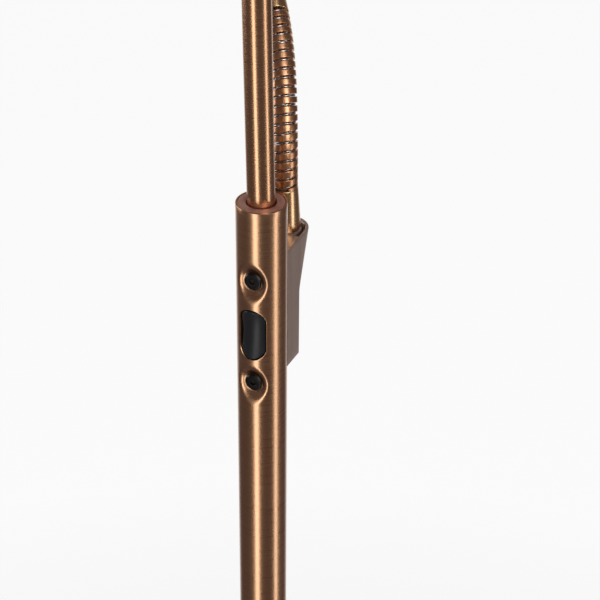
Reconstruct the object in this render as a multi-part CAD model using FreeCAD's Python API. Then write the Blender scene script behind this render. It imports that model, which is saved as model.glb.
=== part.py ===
"""Floor lamp with a fixed uplighter pole and a gooseneck reading arm.

The lamp stands on the floor at z = 0, and the pole's axis is the Z axis.
The switch faces -Y and the reading arm's bracket is on the +Y side.
All sizes are in millimetres.
"""
import FreeCAD, Part
import math
import os

V = FreeCAD.Vector
UP = V(0, 0, 1)

# ---------------------------------------------------------------- clearances
SEAT_GAP = 0.03          # pieces that are pressed or screwed into each other
LOOSE_GAP = 0.10         # pieces that drop into a pocket and are fixed there
HINGE_GAP = 0.05         # radial clearance of a hinge pin
PIN_SEAT_GAP = 0.01      # hinge pins in the ears that hold them
MOVING_GAP = 0.35        # side clearance between pieces that move on each other
LEAN_PLAY = 0.45         # loose thread that lets the thin pole stand askew
PAST = 1.0               # how far a cutter runs on past the surface it opens

# ---------------------------------------------------------------- base
BASE_R = 138.0           # outer radius of the spun cover
BASE_WALL = 1.5
PAD_T = 3.0              # soft pad under the base
PAD_EDGE = 2.0           # how far the pad stays inside the cover's edge
BASE_SIDE_H = 11.0       # upright side of the cover, above the pad
BASE_EDGE_R = 7.0        # rounded shoulder of the cover
BASE_CROWN = 4.0         # rise of the cover from its shoulder to its centre
BASE_FLAT_R = 24.0       # flat middle of the cover
WEIGHT_R = 127.0
WEIGHT_T = 13.0
HUB_R = 22.0             # turned collar where the pole meets the base
HUB_H = 14.0
HUB_SOCKET = 10.0        # how deep the pole sits in the collar
HUB_FOOT_H = 4.0         # upright foot of the collar, below its hollow flank
HUB_LIP = 1.6            # wall of the collar at its top
HUB_FLANK_R = 17.4       # a point on the hollow flank
HUB_FLANK_H = 7.2
INLET_R = 3.6            # hole for the cord in the cover's side
INLET_BORE = 2.6
INLET_LIP = 1.6
INLET_TAPER = 0.6
INLET_CURVE = 0.13       # room for the curve of the cover under the grommet's lips

# ---------------------------------------------------------------- threads and nuts
ROD_R = 5.0              # hollow threaded rods of the pole
ROD_BORE = 3.4
NUT_AF = 17.0
NUT_T = 5.0
NUT_CHAMFER = 1.08       # corner cut of a nut, as a share of its half width
WASHER_T = 1.5
WASHER_R = 11.0
NUT_POCKET_R = 13.0      # pocket for nut and washer under the weight
NUT_POCKET_H = 7.8
ROD_ABOVE_PAD = 0.5
ROD_SHORT = 4.0          # how far the rod ends below the top of the pole's plug
ROD_THROUGH = 3.0        # how far a threaded rod stands out of its nut

# ---------------------------------------------------------------- pole
POLE_R = 14.0
POLE_WALL = 1.2
RING_Z = 1180.0          # top face of the wide pole
SEAM_Z = 600.0           # joint between the wide pole's two lengths
COUPLER_H = 40.0
COUPLER_BORE = 9.0
PLUG_H = 20.0
BUSH_H = 24.0            # turned bush in the top of the wide pole
BUSH_BORE = 8.4
BUSH_FLOOR = 6.0
UPPER_PLUG_H = 12.0
UPPER_ROD_IN = 8.0       # how far the tying rod runs up into the thin pole's plug

# ---------------------------------------------------------------- thin upper pole
THIN_R = 7.65
THIN_WALL = 1.0
THIN_RISE = 545.0        # how far it stands above the wide pole
LEAN_DEG = 0.9           # it stands a little askew in its loose bush
LEAN_FROM = -10.0        # the height of the lean's centre, from the ring
LEAN_TOWARDS = 205.8     # compass angle of the lean, from +X towards +Y

# ---------------------------------------------------------------- switch group
SWITCH_DROP = 76.6       # middle of the rocker, below the ring
ROCKER_W = 15.0
ROCKER_H = 30.8
ROCKER_END_R = 14.7      # surface radius at its ends, from the pole's axis
ROCKER_MID_R = 13.0      # surface radius in its dished middle
ROCKER_BACK = 9.2
SLOT_GAP = 0.7
SLOT_BACK = 5.0          # the slot's cutter starts here, from the pole's axis
ROCKER_SWING = 5.0       # degrees each way
PIVOT_Y = 7.6            # rocker's pin, from the pole's axis
PIVOT_R = 0.8
PIVOT_HUB_R = 1.7
PIVOT_HUB_W = 9.0
SCREW_PITCH = 65.4
SCREW_HEAD_R = 5.25
SCREW_HEAD_H = 1.6
SCREW_R = 2.0
SCREW_LEN = 7.0
SCREW_SOCKET_AF = 3.0
SCREW_SOCKET_DEEP = 1.1
SCREW_EDGE = 0.35        # chamfer of the head's rim
DIMPLE_FLOOR = 10.3      # distance of the dimple's floor from the pole's axis
DIMPLE_FLOOR_R = 5.9
DIMPLE_MOUTH_R = 9.4
FRAME_W = 16.0
FRAME_T = 3.5
FRAME_OVER = 7.0         # how far the frame runs on past each screw
FRAME_WINDOW = 2.0       # how far the frame's window runs on past the rocker
FRAME_STEP = 1.7         # how far the frame stands back behind the rocker's edges
SWITCH_BODY_W = 13.2
SWITCH_BODY_H = 27.0
SWITCH_BODY_FRONT = 5.6
SWITCH_BODY_DEEP = 10.6
EAR_T = 1.5
EAR_HALF_H = 2.2
EAR_MEAT = 0.5           # ear in front of the pin

# ---------------------------------------------------------------- reading arm's bracket
BRACKET_HALF_W = 13.4
BRACKET_WALL = 1.8
BRACKET_TOP = 29.8       # below the ring
BRACKET_BOTTOM = 104.3
FLARE_START = 62.0       # where the back starts to flare out
BRACKET_BACK_LOW = 22.1  # back of the lower channel, from the pole's axis
BRACKET_CORNER = 2.6     # corner of the lower channel's back
NECK_Y = 29.1            # axis of the gooseneck's foot, from the pole's axis
PLATE_T = 3.0
PLATE_DROP = 0.6         # the plate lies this far under the rim
LEAD_HOLE_R = 4.0
LEAD_HOLE_BACK = 9.0     # the lead hole's cutter starts here, from the pole's axis
LEAST_CORNER = 0.3
LOFT_FLAT = 0.05         # short flat left between the two quarter rounds of the rim

# ---------------------------------------------------------------- gooseneck
FERRULE_H = 25.6
FERRULE_FOOT_R = 9.1
FERRULE_TOP_R = 7.4
FERRULE_EDGE = 0.5
STUD_IN = 13.0           # how far the stud runs up into the ferrule
STUD_CLEAR = 1.0         # the ferrule's bore is this much deeper
STUD_R = 4.0
STUD_BORE = 2.4
STUD_NUT_AF = 12.0
STUD_NUT_T = 3.0
COIL_R = 7.25            # outside of the outer coil
COIL_WIRE_R = 1.55
COIL_PITCH = 4.72
COIL_TURNS = 20.0
ROOT_TURNS = 1.75        # turns below the first bend joint
STEP_TURNS = 2.75        # turns between two bend joints
BEND_JOINTS = 7
COIL_LIFT = 0.25         # gap between the ferrules' ends and the coil's wire
CUT_GAP = 0.25           # half of the gap where the coil is parted at a joint
CORE_R = 4.3             # centre line of the inner coil
CORE_WIRE_R = 1.0
CORE_BACK = 1.05         # turns that the inner coil stops short of the next joint
CORE_AHEAD = 0.05        # turns that it starts past the last one
NECK_TILT = 58.0         # tilt of the neck's top end from upright
NECK_EASE = 0.8          # how evenly the bend is spread, 1 is a circular arc
NECK_AZIMUTH = 25.8      # compass angle of the bend at its foot, from +Y towards -X
NECK_DRIFT = 11.2        # how much further round it points at its top

# ---------------------------------------------------------------- arm and head
ARM_FERRULE_L = 24.0
ARM_FERRULE_R = 7.3
ARM_R = 6.0
ARM_WALL = 1.0
ARM_L = 200.0
ARM_SOCKET = 12.0
ARM_FERRULE_STRAIGHT = 14.0
ARM_FERRULE_LIP = 0.9    # its wall at the tapered end
ARM_FERRULE_EDGE = 0.4
FORK_R = 6.0
FORK_SPIGOT = 14.0
FORK_EAR_T = 2.6
FORK_EAR_R = 6.0
TONGUE_T = 5.0
HEAD_PIN_R = 2.0
FORK_THROAT = 2.0        # room between the fork's floor and the tongue's eye
EAR_SHARE = 0.8          # half width of ears and tongue, as a share of the fork's
EAR_OVER = 1.5           # how far the ears stand out past the fork's foot
HEAD_PIVOT = 16.0        # pivot's distance from the arm tube's end
HEAD_NECK = 13.0         # from the pivot to the back of the shade
HEAD_BACK_R = 12.0
HEAD_R = 34.0
HEAD_DOME = 24.0
HEAD_SKIRT = 44.0
HEAD_WALL = 1.2
HEAD_AIM = 25.0          # the head points this far outwards from straight down
HEAD_SINK_R = 27.0
HEAD_SINK_T = 8.0
HEAD_BOARD_R = 24.0
HEAD_BOARD_T = 1.6
HEAD_LENS_T = 3.0
HEAD_LENS_IN = 2.0
HEAD_BEZEL_W = 2.4
HEAD_BEZEL_T = 1.5
HEAD_BOARD_DEEP = 12.0   # from the lens down to the board
HEAD_FLANGE_T = 3.0
HEAD_FIN_STEP = 7.0
HEAD_FIN_SLOT = 2.4
HEAD_FIN_SLOTS = 7
HEAD_FOOT_T = 3.0        # round foot of the tongue, against the shade's back
HEAD_FOOT_R = 9.0
HEAD_DOME_OUT = 0.72     # the dome's middle point, as shares of its width and height
HEAD_DOME_UP = 0.34

# ---------------------------------------------------------------- uplighter
UP_FORK_R = 8.4
UP_SPIGOT = 16.0
UP_EAR_T = 4.0
UP_EAR_R = 8.4
UP_TONGUE_T = 7.0
UP_PIN_R = 2.5
UP_PIVOT = 22.0          # pivot's height above the thin pole's end
UP_NECK = 16.0           # from the pivot to the bowl's underside
UP_PAD_R = 20.0
UP_PAD_T = 4.0
BOWL_FLOOR_R = 66.0
BOWL_R = 135.0
BOWL_H = 58.0
BOWL_RIM_H = 9.0         # upright rim of the bowl
BOWL_WALL = 1.5
BOWL_CURVE_OUT = 0.62    # the flank's middle point, as shares of its width and height
BOWL_CURVE_UP = 0.28
UP_SINK_R = 60.0
UP_SINK_T = 8.0
UP_BOARD_R = 54.0
UP_BOARD_T = 1.6
LEDGE_W = 4.5
LEDGE_T = 2.0
DIFFUSER_T = 3.0
DIFFUSER_IN = 2.0        # how far the diffuser lies under the rim
BOWL_SCREW_CIRCLE = 14.0
BOWL_SCREW_R = 1.5
BOWL_SCREW_HEAD_R = 2.8
BOWL_SCREW_HEAD_H = 2.0
BOWL_SCREW_SHORT = 0.5   # how far its end stays inside the tongue's foot

# ---------------------------------------------------------------- worked-out places
COVER_SHOULDER_Z = PAD_T + BASE_SIDE_H + BASE_EDGE_R
COVER_TOP_Z = COVER_SHOULDER_Z + BASE_CROWN
POLE_FOOT_Z = COVER_TOP_Z + HUB_H - HUB_SOCKET
POLE_BORE = POLE_R - POLE_WALL
BUSH_FLOOR_Z = RING_Z - BUSH_H + BUSH_FLOOR
THIN_FOOT_Z = BUSH_FLOOR_Z + 2 * LOOSE_GAP
THIN_TOP_Z = RING_Z + THIN_RISE
THIN_BORE = THIN_R - THIN_WALL
SWITCH_Z = RING_Z - SWITCH_DROP
DIMPLE_BACK = DIMPLE_FLOOR - POLE_WALL
PLATE_TOP_Z = RING_Z - BRACKET_TOP - PLATE_DROP
NECK_START_Z = PLATE_TOP_Z + FERRULE_H
COIL_START = COIL_WIRE_R + COIL_LIFT
COIL_LENGTH = 2 * COIL_START + COIL_PITCH * COIL_TURNS
COIL_CENTRE_R = COIL_R - COIL_WIRE_R


# ================================================================ general helpers
def rod(radius, z0, z1, x=0.0, y=0.0):
    return Part.makeCylinder(radius, z1 - z0, V(x, y, z0), UP)


def ring(outer, inner, z0, z1, x=0.0, y=0.0):
    return rod(outer, z0, z1, x, y).cut(rod(inner, z0 - PAST, z1 + PAST, x, y))


def block(x0, x1, y0, y1, z0, z1):
    return Part.makeBox(x1 - x0, y1 - y0, z1 - z0, V(x0, y0, z0))


def hexagon(across_flats, z0, z1, x=0.0, y=0.0):
    corner = across_flats / math.sqrt(3)
    points = []
    for i in range(7):
        angle = math.radians(60 * i)
        points.append(V(x + corner * math.cos(angle), y + corner * math.sin(angle), z0))
    return Part.Face(Part.makePolygon(points)).extrude(V(0, 0, z1 - z0))


def hex_nut(across_flats, bore, z0, z1, x=0.0, y=0.0):
    chamfer = across_flats / 2 * NUT_CHAMFER
    blank = hexagon(across_flats, z0, z1, x, y).common(rod(chamfer, z0, z1, x, y))
    return blank.cut(rod(bore, z0 - PAST, z1 + PAST, x, y))


def turned(edges, x=0.0, y=0.0):
    """A solid of revolution from an outline in the XZ plane, made of edges in order."""
    face = Part.Face(Part.Wire(edges))
    solid = face.revolve(V(0, 0, 0), UP, 360)
    solid.translate(V(x, y, 0))
    return solid


def line(r0, z0, r1, z1):
    return Part.LineSegment(V(r0, 0, z0), V(r1, 0, z1)).toShape()


def corner(r0, z0, r1, z1, bulge_r, bulge_z):
    """A quarter-like arc from one point to the next through a point between them."""
    return Part.Arc(V(r0, 0, z0), V(bulge_r, 0, bulge_z), V(r1, 0, z1)).toShape()


def outline(points):
    edges = []
    for i, start in enumerate(points):
        end = points[(i + 1) % len(points)]
        edges.append(line(start[0], start[1], end[0], end[1]))
    return edges


def on_frame(shape, origin, x_dir, y_dir, z_dir):
    """Move a shape from its own axes to a place with the given axes."""
    turn = FreeCAD.Rotation(x_dir, y_dir, z_dir, "ZXY")
    moved = shape.copy()
    moved.Placement = FreeCAD.Placement(origin, turn).multiply(shape.Placement)
    return moved


def towards_pole_y(shape):
    """Turn a shape whose axis is +Z so that its axis points along -Y."""
    moved = shape.copy()
    moved.rotate(V(0, 0, 0), V(1, 0, 0), 90)
    return moved


def leaned(shape):
    """Stand a piece of the thin pole askew, as its loose bush lets it."""
    angle = math.radians(LEAN_TOWARDS)
    axis = UP.cross(V(math.cos(angle), math.sin(angle), 0))
    moved = shape.copy()
    moved.rotate(V(0, 0, RING_Z + LEAN_FROM), axis, LEAN_DEG)
    return moved


# ================================================================ base
def cover_outline(offset):
    """Half outline of the spun cover, shrunk by offset, down to the pad."""
    side = BASE_R - offset
    shoulder = side - BASE_EDGE_R + offset
    low = PAD_T
    bend = PAD_T + BASE_SIDE_H
    top = COVER_SHOULDER_Z - offset
    middle = COVER_TOP_Z - offset
    radius = BASE_EDGE_R - offset
    bulge = radius * math.sqrt(0.5)
    return [
        line(0, low, side, low),
        line(side, low, side, bend),
        corner(side, bend, shoulder, top, shoulder + bulge, bend + bulge),
        line(shoulder, top, BASE_FLAT_R, middle),
        line(BASE_FLAT_R, middle, 0, middle),
        line(0, middle, 0, low),
    ]


def inlet_axis_z():
    return PAD_T + BASE_SIDE_H / 2


def base_cover():
    shell = turned(cover_outline(0)).cut(turned(cover_outline(BASE_WALL)))
    shell = shell.cut(rod(ROD_R + LOOSE_GAP, 0, COVER_TOP_Z + PAST))
    inside = BASE_R - 2 * BASE_WALL
    hole = Part.makeCylinder(INLET_R, 3 * BASE_WALL, V(0, inside, inlet_axis_z()), V(0, 1, 0))
    return shell.cut(hole)


def base_weight():
    """The cast disc, with a boss up to the cover and a pocket for the nut below."""
    disc = rod(WEIGHT_R, PAD_T, PAD_T + WEIGHT_T)
    boss = rod(BASE_FLAT_R - BASE_WALL, PAD_T, COVER_TOP_Z - BASE_WALL - SEAT_GAP)
    pocket = rod(NUT_POCKET_R, PAD_T - PAST, nut_pocket_z())
    return disc.fuse(boss).cut(pocket).cut(rod(ROD_R + LOOSE_GAP, 0, COVER_TOP_Z))


def base_pad():
    return rod(BASE_R - PAD_EDGE, 0, PAD_T)


def nut_pocket_z():
    return PAD_T + NUT_POCKET_H


def base_washer():
    top = nut_pocket_z() - SEAT_GAP
    return ring(WASHER_R, ROD_R + LOOSE_GAP, top - WASHER_T, top)


def base_nut():
    top = nut_pocket_z() - WASHER_T - 2 * SEAT_GAP
    return hex_nut(NUT_AF, ROD_R + SEAT_GAP, top - NUT_T, top)


def base_threaded_rod():
    return ring(ROD_R, ROD_BORE, PAD_T + ROD_ABOVE_PAD, POLE_FOOT_Z + PLUG_H - ROD_SHORT)


def base_collar():
    """The turned collar that hides the joint between pole and base."""
    foot = COVER_TOP_Z
    top = COVER_TOP_Z + HUB_H
    lip = POLE_R + HUB_LIP
    flank = foot + HUB_FOOT_H
    body = turned([
        line(0, foot, HUB_R, foot),
        line(HUB_R, foot, HUB_R, flank),
        corner(HUB_R, flank, lip, top, HUB_FLANK_R, foot + HUB_FLANK_H),
        line(lip, top, 0, top),
        line(0, top, 0, foot),
    ])
    socket = rod(POLE_R + SEAT_GAP, POLE_FOOT_Z, top + PAST)
    return body.cut(socket).cut(rod(ROD_R + LOOSE_GAP, foot - PAST, top))


def cord_inlet():
    """Rubber grommet in the side of the base, where the mains cord goes in."""
    half = BASE_WALL / 2
    lip_r = INLET_R + INLET_LIP
    body_r = INLET_R - SEAT_GAP
    outer = half + INLET_LIP
    profile = turned(outline([
        (INLET_BORE, -outer), (lip_r, -outer), (lip_r, -half - INLET_CURVE),
        (body_r, -half - INLET_CURVE), (body_r, half + SEAT_GAP), (lip_r, half + SEAT_GAP),
        (lip_r - INLET_TAPER, outer), (INLET_BORE, outer),
    ]))
    centre = V(0, BASE_R - half, inlet_axis_z())
    return on_frame(profile, centre, V(1, 0, 0), V(0, 0, -1), V(0, 1, 0))


# ================================================================ wide pole
def pole_lower_tube():
    return ring(POLE_R, POLE_BORE, POLE_FOOT_Z, SEAM_Z)


def pole_foot_plug():
    return ring(POLE_BORE - SEAT_GAP, ROD_R + SEAT_GAP, POLE_FOOT_Z, POLE_FOOT_Z + PLUG_H)


def pole_coupler():
    """The sleeve inside the pole that carries the upper length on the lower one."""
    half = COUPLER_H / 2
    return ring(POLE_BORE - SEAT_GAP, COUPLER_BORE, SEAM_Z - half, SEAM_Z + half)


def stadium_prism(width, height, y0, y1, z):
    """An upright slot shape with round ends, extruded along Y."""
    half = (height - width) / 2
    middle = block(-width / 2, width / 2, y0, y1, z - half, z + half)
    for end in (z - half, z + half):
        cap = Part.makeCylinder(width / 2, y1 - y0, V(0, y0, end), V(0, 1, 0))
        middle = middle.fuse(cap)
    return middle.removeSplitter()


def screw_heights():
    return (SWITCH_Z + SCREW_PITCH / 2, SWITCH_Z - SCREW_PITCH / 2)


def dimple(z, floor, floor_r, mouth_r):
    """The hollow pressed into the pole for a screw head, as a cone towards -Y."""
    depth = POLE_R - floor
    grow = (mouth_r - floor_r) / depth
    outer_r = mouth_r + grow * PAST
    return Part.makeCone(floor_r, outer_r, depth + PAST, V(0, -floor, z), V(0, -1, 0))


def pole_switch_tube():
    """The upper length of the wide pole, with its pressed dimples and rocker slot."""
    skin = rod(POLE_R, SEAM_Z, RING_Z)
    hollow = rod(POLE_BORE, SEAM_Z - PAST, RING_Z + PAST)
    for z in screw_heights():
        skin = skin.cut(dimple(z, DIMPLE_FLOOR, DIMPLE_FLOOR_R, DIMPLE_MOUTH_R))
        thick = dimple(z, DIMPLE_BACK, DIMPLE_FLOOR_R + POLE_WALL, DIMPLE_MOUTH_R + POLE_WALL)
        hollow = hollow.cut(thick)
    tube = skin.cut(hollow)
    slot_w = ROCKER_W + 2 * SLOT_GAP
    slot_h = ROCKER_H + 2 * SLOT_GAP
    tube = tube.cut(stadium_prism(slot_w, slot_h, -POLE_R - PAST, -SLOT_BACK, SWITCH_Z))
    for z in screw_heights():
        hole = Part.makeCylinder(SCREW_R + LOOSE_GAP, POLE_R, V(0, 0, z), V(0, -1, 0))
        tube = tube.cut(hole)
    lead_at = V(0, LEAD_HOLE_BACK, RING_Z - FLARE_START)
    lead = Part.makeCylinder(LEAD_HOLE_R, POLE_R - LEAD_HOLE_BACK + PAST, lead_at, V(0, 1, 0))
    return tube.cut(lead)


def pole_bush():
    """The turned bush in the top of the wide pole, in which the thin pole stands."""
    bottom = RING_Z - BUSH_H
    body = rod(POLE_BORE - SEAT_GAP, bottom, RING_Z)
    body = body.cut(rod(BUSH_BORE, BUSH_FLOOR_Z, RING_Z + PAST))
    return body.cut(rod(ROD_R + SEAT_GAP, bottom - PAST, RING_Z))


# ================================================================ thin pole
def upper_pole():
    return leaned(ring(THIN_R, THIN_BORE, THIN_FOOT_Z, THIN_TOP_Z))


def upper_pole_plug():
    """Threaded plug in the foot of the thin pole, with a loose thread for the lean."""
    top = THIN_FOOT_Z + UPPER_PLUG_H
    return leaned(ring(THIN_BORE - SEAT_GAP, ROD_R + LEAN_PLAY, THIN_FOOT_Z, top))


def upper_pole_rod():
    """The hollow threaded rod that ties the thin pole's plug to the bush."""
    return ring(ROD_R, ROD_BORE, RING_Z - BUSH_H - NUT_T - ROD_THROUGH, THIN_FOOT_Z + UPPER_ROD_IN)


def upper_pole_nut():
    top = RING_Z - BUSH_H - SEAT_GAP
    return hex_nut(NUT_AF, ROD_R + SEAT_GAP, top - NUT_T, top)


# ================================================================ switch group
def cross_rod(radius, half_length):
    """A rod along X in the rocker's pivot."""
    return Part.makeCylinder(radius, 2 * half_length, V(-half_length, -PIVOT_Y, SWITCH_Z), V(1, 0, 0))


def switch_rocker():
    """The rocker: round across with the pole, dished along it, on a hub behind."""
    half = ROCKER_H / 2
    saddle = turned([
        line(0, -half, ROCKER_END_R, -half),
        corner(ROCKER_END_R, -half, ROCKER_END_R, half, ROCKER_MID_R, 0),
        line(ROCKER_END_R, half, 0, half),
        line(0, half, 0, -half),
    ])
    saddle.translate(V(0, 0, SWITCH_Z))
    front = -ROCKER_END_R - PAST
    cap = saddle.common(stadium_prism(ROCKER_W, ROCKER_H, front, -ROCKER_BACK, SWITCH_Z))
    low = SWITCH_Z - PIVOT_HUB_R
    high = SWITCH_Z + PIVOT_HUB_R
    half_w = PIVOT_HUB_W / 2
    web = block(-half_w, half_w, -ROCKER_BACK - PAST, -PIVOT_Y, low, high)
    return cap.fuse(web).fuse(cross_rod(PIVOT_HUB_R, half_w)).cut(
        cross_rod(PIVOT_R + HINGE_GAP, POLE_R)).removeSplitter()


def ear_inside():
    return PIVOT_HUB_W / 2 + MOVING_GAP


def switch_pivot_pin():
    return cross_rod(PIVOT_R, ear_inside() + EAR_T)


def switch_body():
    """The dimming switch's housing behind the rocker, with two ears for its pin."""
    w = SWITCH_BODY_W / 2
    h = SWITCH_BODY_H / 2
    front = -SWITCH_BODY_FRONT
    body = block(-w, w, front, front + SWITCH_BODY_DEEP, SWITCH_Z - h, SWITCH_Z + h)
    ear_front = -PIVOT_Y - PIVOT_R - EAR_MEAT
    for side in (-1, 1):
        inner = side * ear_inside()
        outer = side * (ear_inside() + EAR_T)
        x0 = min(inner, outer)
        x1 = max(inner, outer)
        body = body.fuse(block(x0, x1, ear_front, front, SWITCH_Z - EAR_HALF_H, SWITCH_Z + EAR_HALF_H))
    return body.cut(cross_rod(PIVOT_R + PIN_SEAT_GAP, POLE_R)).removeSplitter()


def switch_frame():
    """The plate inside the pole that the two screws pull against the dimples."""
    half = SCREW_PITCH / 2 + FRAME_OVER
    front = -DIMPLE_BACK + SEAT_GAP
    w = FRAME_W / 2
    plate = block(-w, w, front, front + FRAME_T, SWITCH_Z - half, SWITCH_Z + half)
    gap_w = SWITCH_BODY_W / 2 + LOOSE_GAP
    gap_h = ROCKER_H / 2 + FRAME_WINDOW
    window = block(-gap_w, gap_w, front - PAST, front + FRAME_T + PAST, SWITCH_Z - gap_h, SWITCH_Z + gap_h)
    step = block(-FRAME_W, FRAME_W, front - PAST, front + FRAME_STEP, SWITCH_Z - gap_h, SWITCH_Z + gap_h)
    plate = plate.cut(window).cut(step)
    for z in screw_heights():
        plate = plate.cut(Part.makeCylinder(SCREW_R + SEAT_GAP, POLE_R, V(0, 0, z), V(0, -1, 0)))
    return plate


def switch_screws():
    """Two flat socket-head screws, one in each dimple."""
    seat = DIMPLE_FLOOR + SEAT_GAP
    top = SCREW_HEAD_H
    screws = []
    for z in screw_heights():
        head = turned(outline([
            (0, 0), (SCREW_HEAD_R, 0), (SCREW_HEAD_R, top - SCREW_EDGE),
            (SCREW_HEAD_R - SCREW_EDGE, top), (0, top),
        ]))
        floor = top - SCREW_SOCKET_DEEP
        head = head.cut(hexagon(SCREW_SOCKET_AF, floor, top + PAST))
        screw = head.fuse(rod(SCREW_R, -SCREW_LEN, floor / 2))
        screw = towards_pole_y(screw)
        screw.translate(V(0, -seat, z))
        screws.append(screw)
    return Part.makeCompound(screws)


# ================================================================ bracket of the reading arm
def channel_outline(z, half_w, back, corner_r):
    """The channel's outline at one height: open side at the pole, rounded back."""
    side = back - corner_r
    flat = half_w - corner_r
    bulge = corner_r * math.sqrt(0.5)
    left_mid = V(-flat - bulge, side + bulge, z)
    right_mid = V(flat + bulge, side + bulge, z)
    edges = [
        Part.LineSegment(V(-half_w, 0, z), V(-half_w, side, z)).toShape(),
        Part.Arc(V(-half_w, side, z), left_mid, V(-flat, back, z)).toShape(),
        Part.LineSegment(V(-flat, back, z), V(flat, back, z)).toShape(),
        Part.Arc(V(flat, back, z), right_mid, V(half_w, side, z)).toShape(),
        Part.LineSegment(V(half_w, side, z), V(half_w, 0, z)).toShape(),
        Part.LineSegment(V(half_w, 0, z), V(-half_w, 0, z)).toShape(),
    ]
    return Part.Wire(edges)


def channel_solid(shrink, top_extra, bottom_extra):
    """The channel as a filled body, its walls moved inwards by shrink."""
    half_w = BRACKET_HALF_W - shrink
    z_low = RING_Z - BRACKET_BOTTOM - bottom_extra
    z_flare = RING_Z - FLARE_START
    z_top = RING_Z - BRACKET_TOP
    low_back = BRACKET_BACK_LOW - shrink
    top_back = NECK_Y + BRACKET_HALF_W - shrink
    low_r = max(BRACKET_CORNER - shrink, LEAST_CORNER)
    round_r = half_w - LOFT_FLAT
    low = Part.Face(channel_outline(z_low, half_w, low_back, low_r)).extrude(V(0, 0, z_flare - z_low))
    wires = [
        channel_outline(z_flare, half_w, low_back, low_r),
        channel_outline(z_top, half_w, top_back, round_r),
    ]
    solid = low.fuse(Part.makeLoft(wires, True, True))
    if top_extra > 0:
        cap = Part.Face(channel_outline(z_top, half_w, top_back, round_r)).extrude(V(0, 0, top_extra))
        solid = solid.fuse(cap)
    return solid


def arm_bracket():
    """The pressed channel on the back of the pole that carries the reading arm."""
    shell = channel_solid(0, 0, 0).cut(channel_solid(BRACKET_WALL, PAST, PAST))
    pole = rod(POLE_R + SEAT_GAP, RING_Z - 2 * BRACKET_BOTTOM, RING_Z)
    return shell.cut(pole)


def bracket_plate():
    """The plate that closes the bracket's top and carries the gooseneck."""
    fill = channel_solid(BRACKET_WALL + LOOSE_GAP, 0, 0)
    bottom = PLATE_TOP_Z - PLATE_T
    wide = 2 * BRACKET_HALF_W
    plate = fill.common(block(-wide, wide, 0, NECK_Y + wide, bottom, PLATE_TOP_Z))
    plate = plate.cut(rod(POLE_R + LOOSE_GAP, bottom - PAST, RING_Z))
    return plate.cut(rod(STUD_R + LOOSE_GAP, bottom - PAST, RING_Z, 0, NECK_Y))


def neck_stud():
    """The hollow threaded stud that holds the gooseneck's foot on the plate."""
    bottom = PLATE_TOP_Z - PLATE_T - STUD_NUT_T - ROD_THROUGH
    return ring(STUD_R, STUD_BORE, bottom, PLATE_TOP_Z + STUD_IN, 0, NECK_Y)


def neck_nut():
    top = PLATE_TOP_Z - PLATE_T - SEAT_GAP
    return hex_nut(STUD_NUT_AF, STUD_R + SEAT_GAP, top - STUD_NUT_T, top, 0, NECK_Y)


def neck_foot():
    """The tapered ferrule at the gooseneck's foot."""
    z0 = PLATE_TOP_Z
    z1 = z0 + FERRULE_H
    edge = FERRULE_EDGE
    body = turned(outline([
        (0, z0), (FERRULE_FOOT_R - edge, z0), (FERRULE_FOOT_R, z0 + edge),
        (FERRULE_TOP_R, z1 - edge), (FERRULE_TOP_R - edge, z1), (0, z1),
    ]), 0, NECK_Y)
    body = body.cut(rod(STUD_R + SEAT_GAP, z0 - PAST, z0 + STUD_IN + STUD_CLEAR, 0, NECK_Y))
    return body.cut(rod(STUD_BORE, z0, z1 + PAST, 0, NECK_Y))


# ================================================================ gooseneck
def neck_share(s):
    return min(max(s / COIL_LENGTH, 0.0), 1.0)


def neck_directions(s):
    """Tangent, sideways and outward direction of the neck's centre line at length s."""
    tilt = math.radians(NECK_TILT) * neck_share(s) ** NECK_EASE
    azimuth = math.radians(NECK_AZIMUTH + NECK_DRIFT * neck_share(s) ** 2)
    flat = V(-math.sin(azimuth), math.cos(azimuth), 0)
    tangent = flat * math.sin(tilt) + UP * math.cos(tilt)
    side = UP.cross(flat)
    return tangent, side, side.cross(tangent)


def neck_centre(s):
    """Point on the neck's centre line, added up in short steps from its foot."""
    steps = max(1, int(math.ceil(s / 0.5)))
    step = s / steps
    point = V(0, NECK_Y, NECK_START_Z)
    for i in range(steps):
        tangent = neck_directions((i + 0.5) * step)[0]
        point = point + tangent * step
    return point


def coil_point(turns, radius, ahead):
    """A point on a coil round the neck; ahead shifts it along the neck in turns."""
    s = COIL_START + COIL_PITCH * (turns + ahead)
    tangent, side, outward = neck_directions(s)
    angle = 2 * math.pi * turns
    return neck_centre(s) + outward * (radius * math.cos(angle)) + side * (radius * math.sin(angle))


def coil_tangent(turns, radius, ahead):
    small = 0.01
    direction = coil_point(turns + small, radius, ahead) - coil_point(turns - small, radius, ahead)
    return direction.normalize()


def arc_between(start, apex, end):
    """The arc from start to end whose tangents meet at apex."""
    middle = (start + end) * 0.5
    half_chord = (end - start).Length / 2
    cosine = min(half_chord / (apex - start).Length, 1.0)
    peak = middle + (apex - middle) * (cosine / (1 + cosine))
    return Part.Arc(start, peak, end).toShape()


def biarc(p0, t0, p1, t1):
    """Two arcs that leave p0 along t0 and reach p1 along t1 with no corner."""
    chord = p1 - p0
    total = t0 + t1
    spread = 2 * (1 - t0.dot(t1))
    along = chord.dot(total)
    reach = (-along + math.sqrt(along * along + spread * chord.dot(chord))) / spread
    apex0 = p0 + t0 * reach
    apex1 = p1 - t1 * reach
    joint = (apex0 + apex1) * 0.5
    return [arc_between(p0, apex0, joint), arc_between(joint, apex1, p1)]


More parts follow.
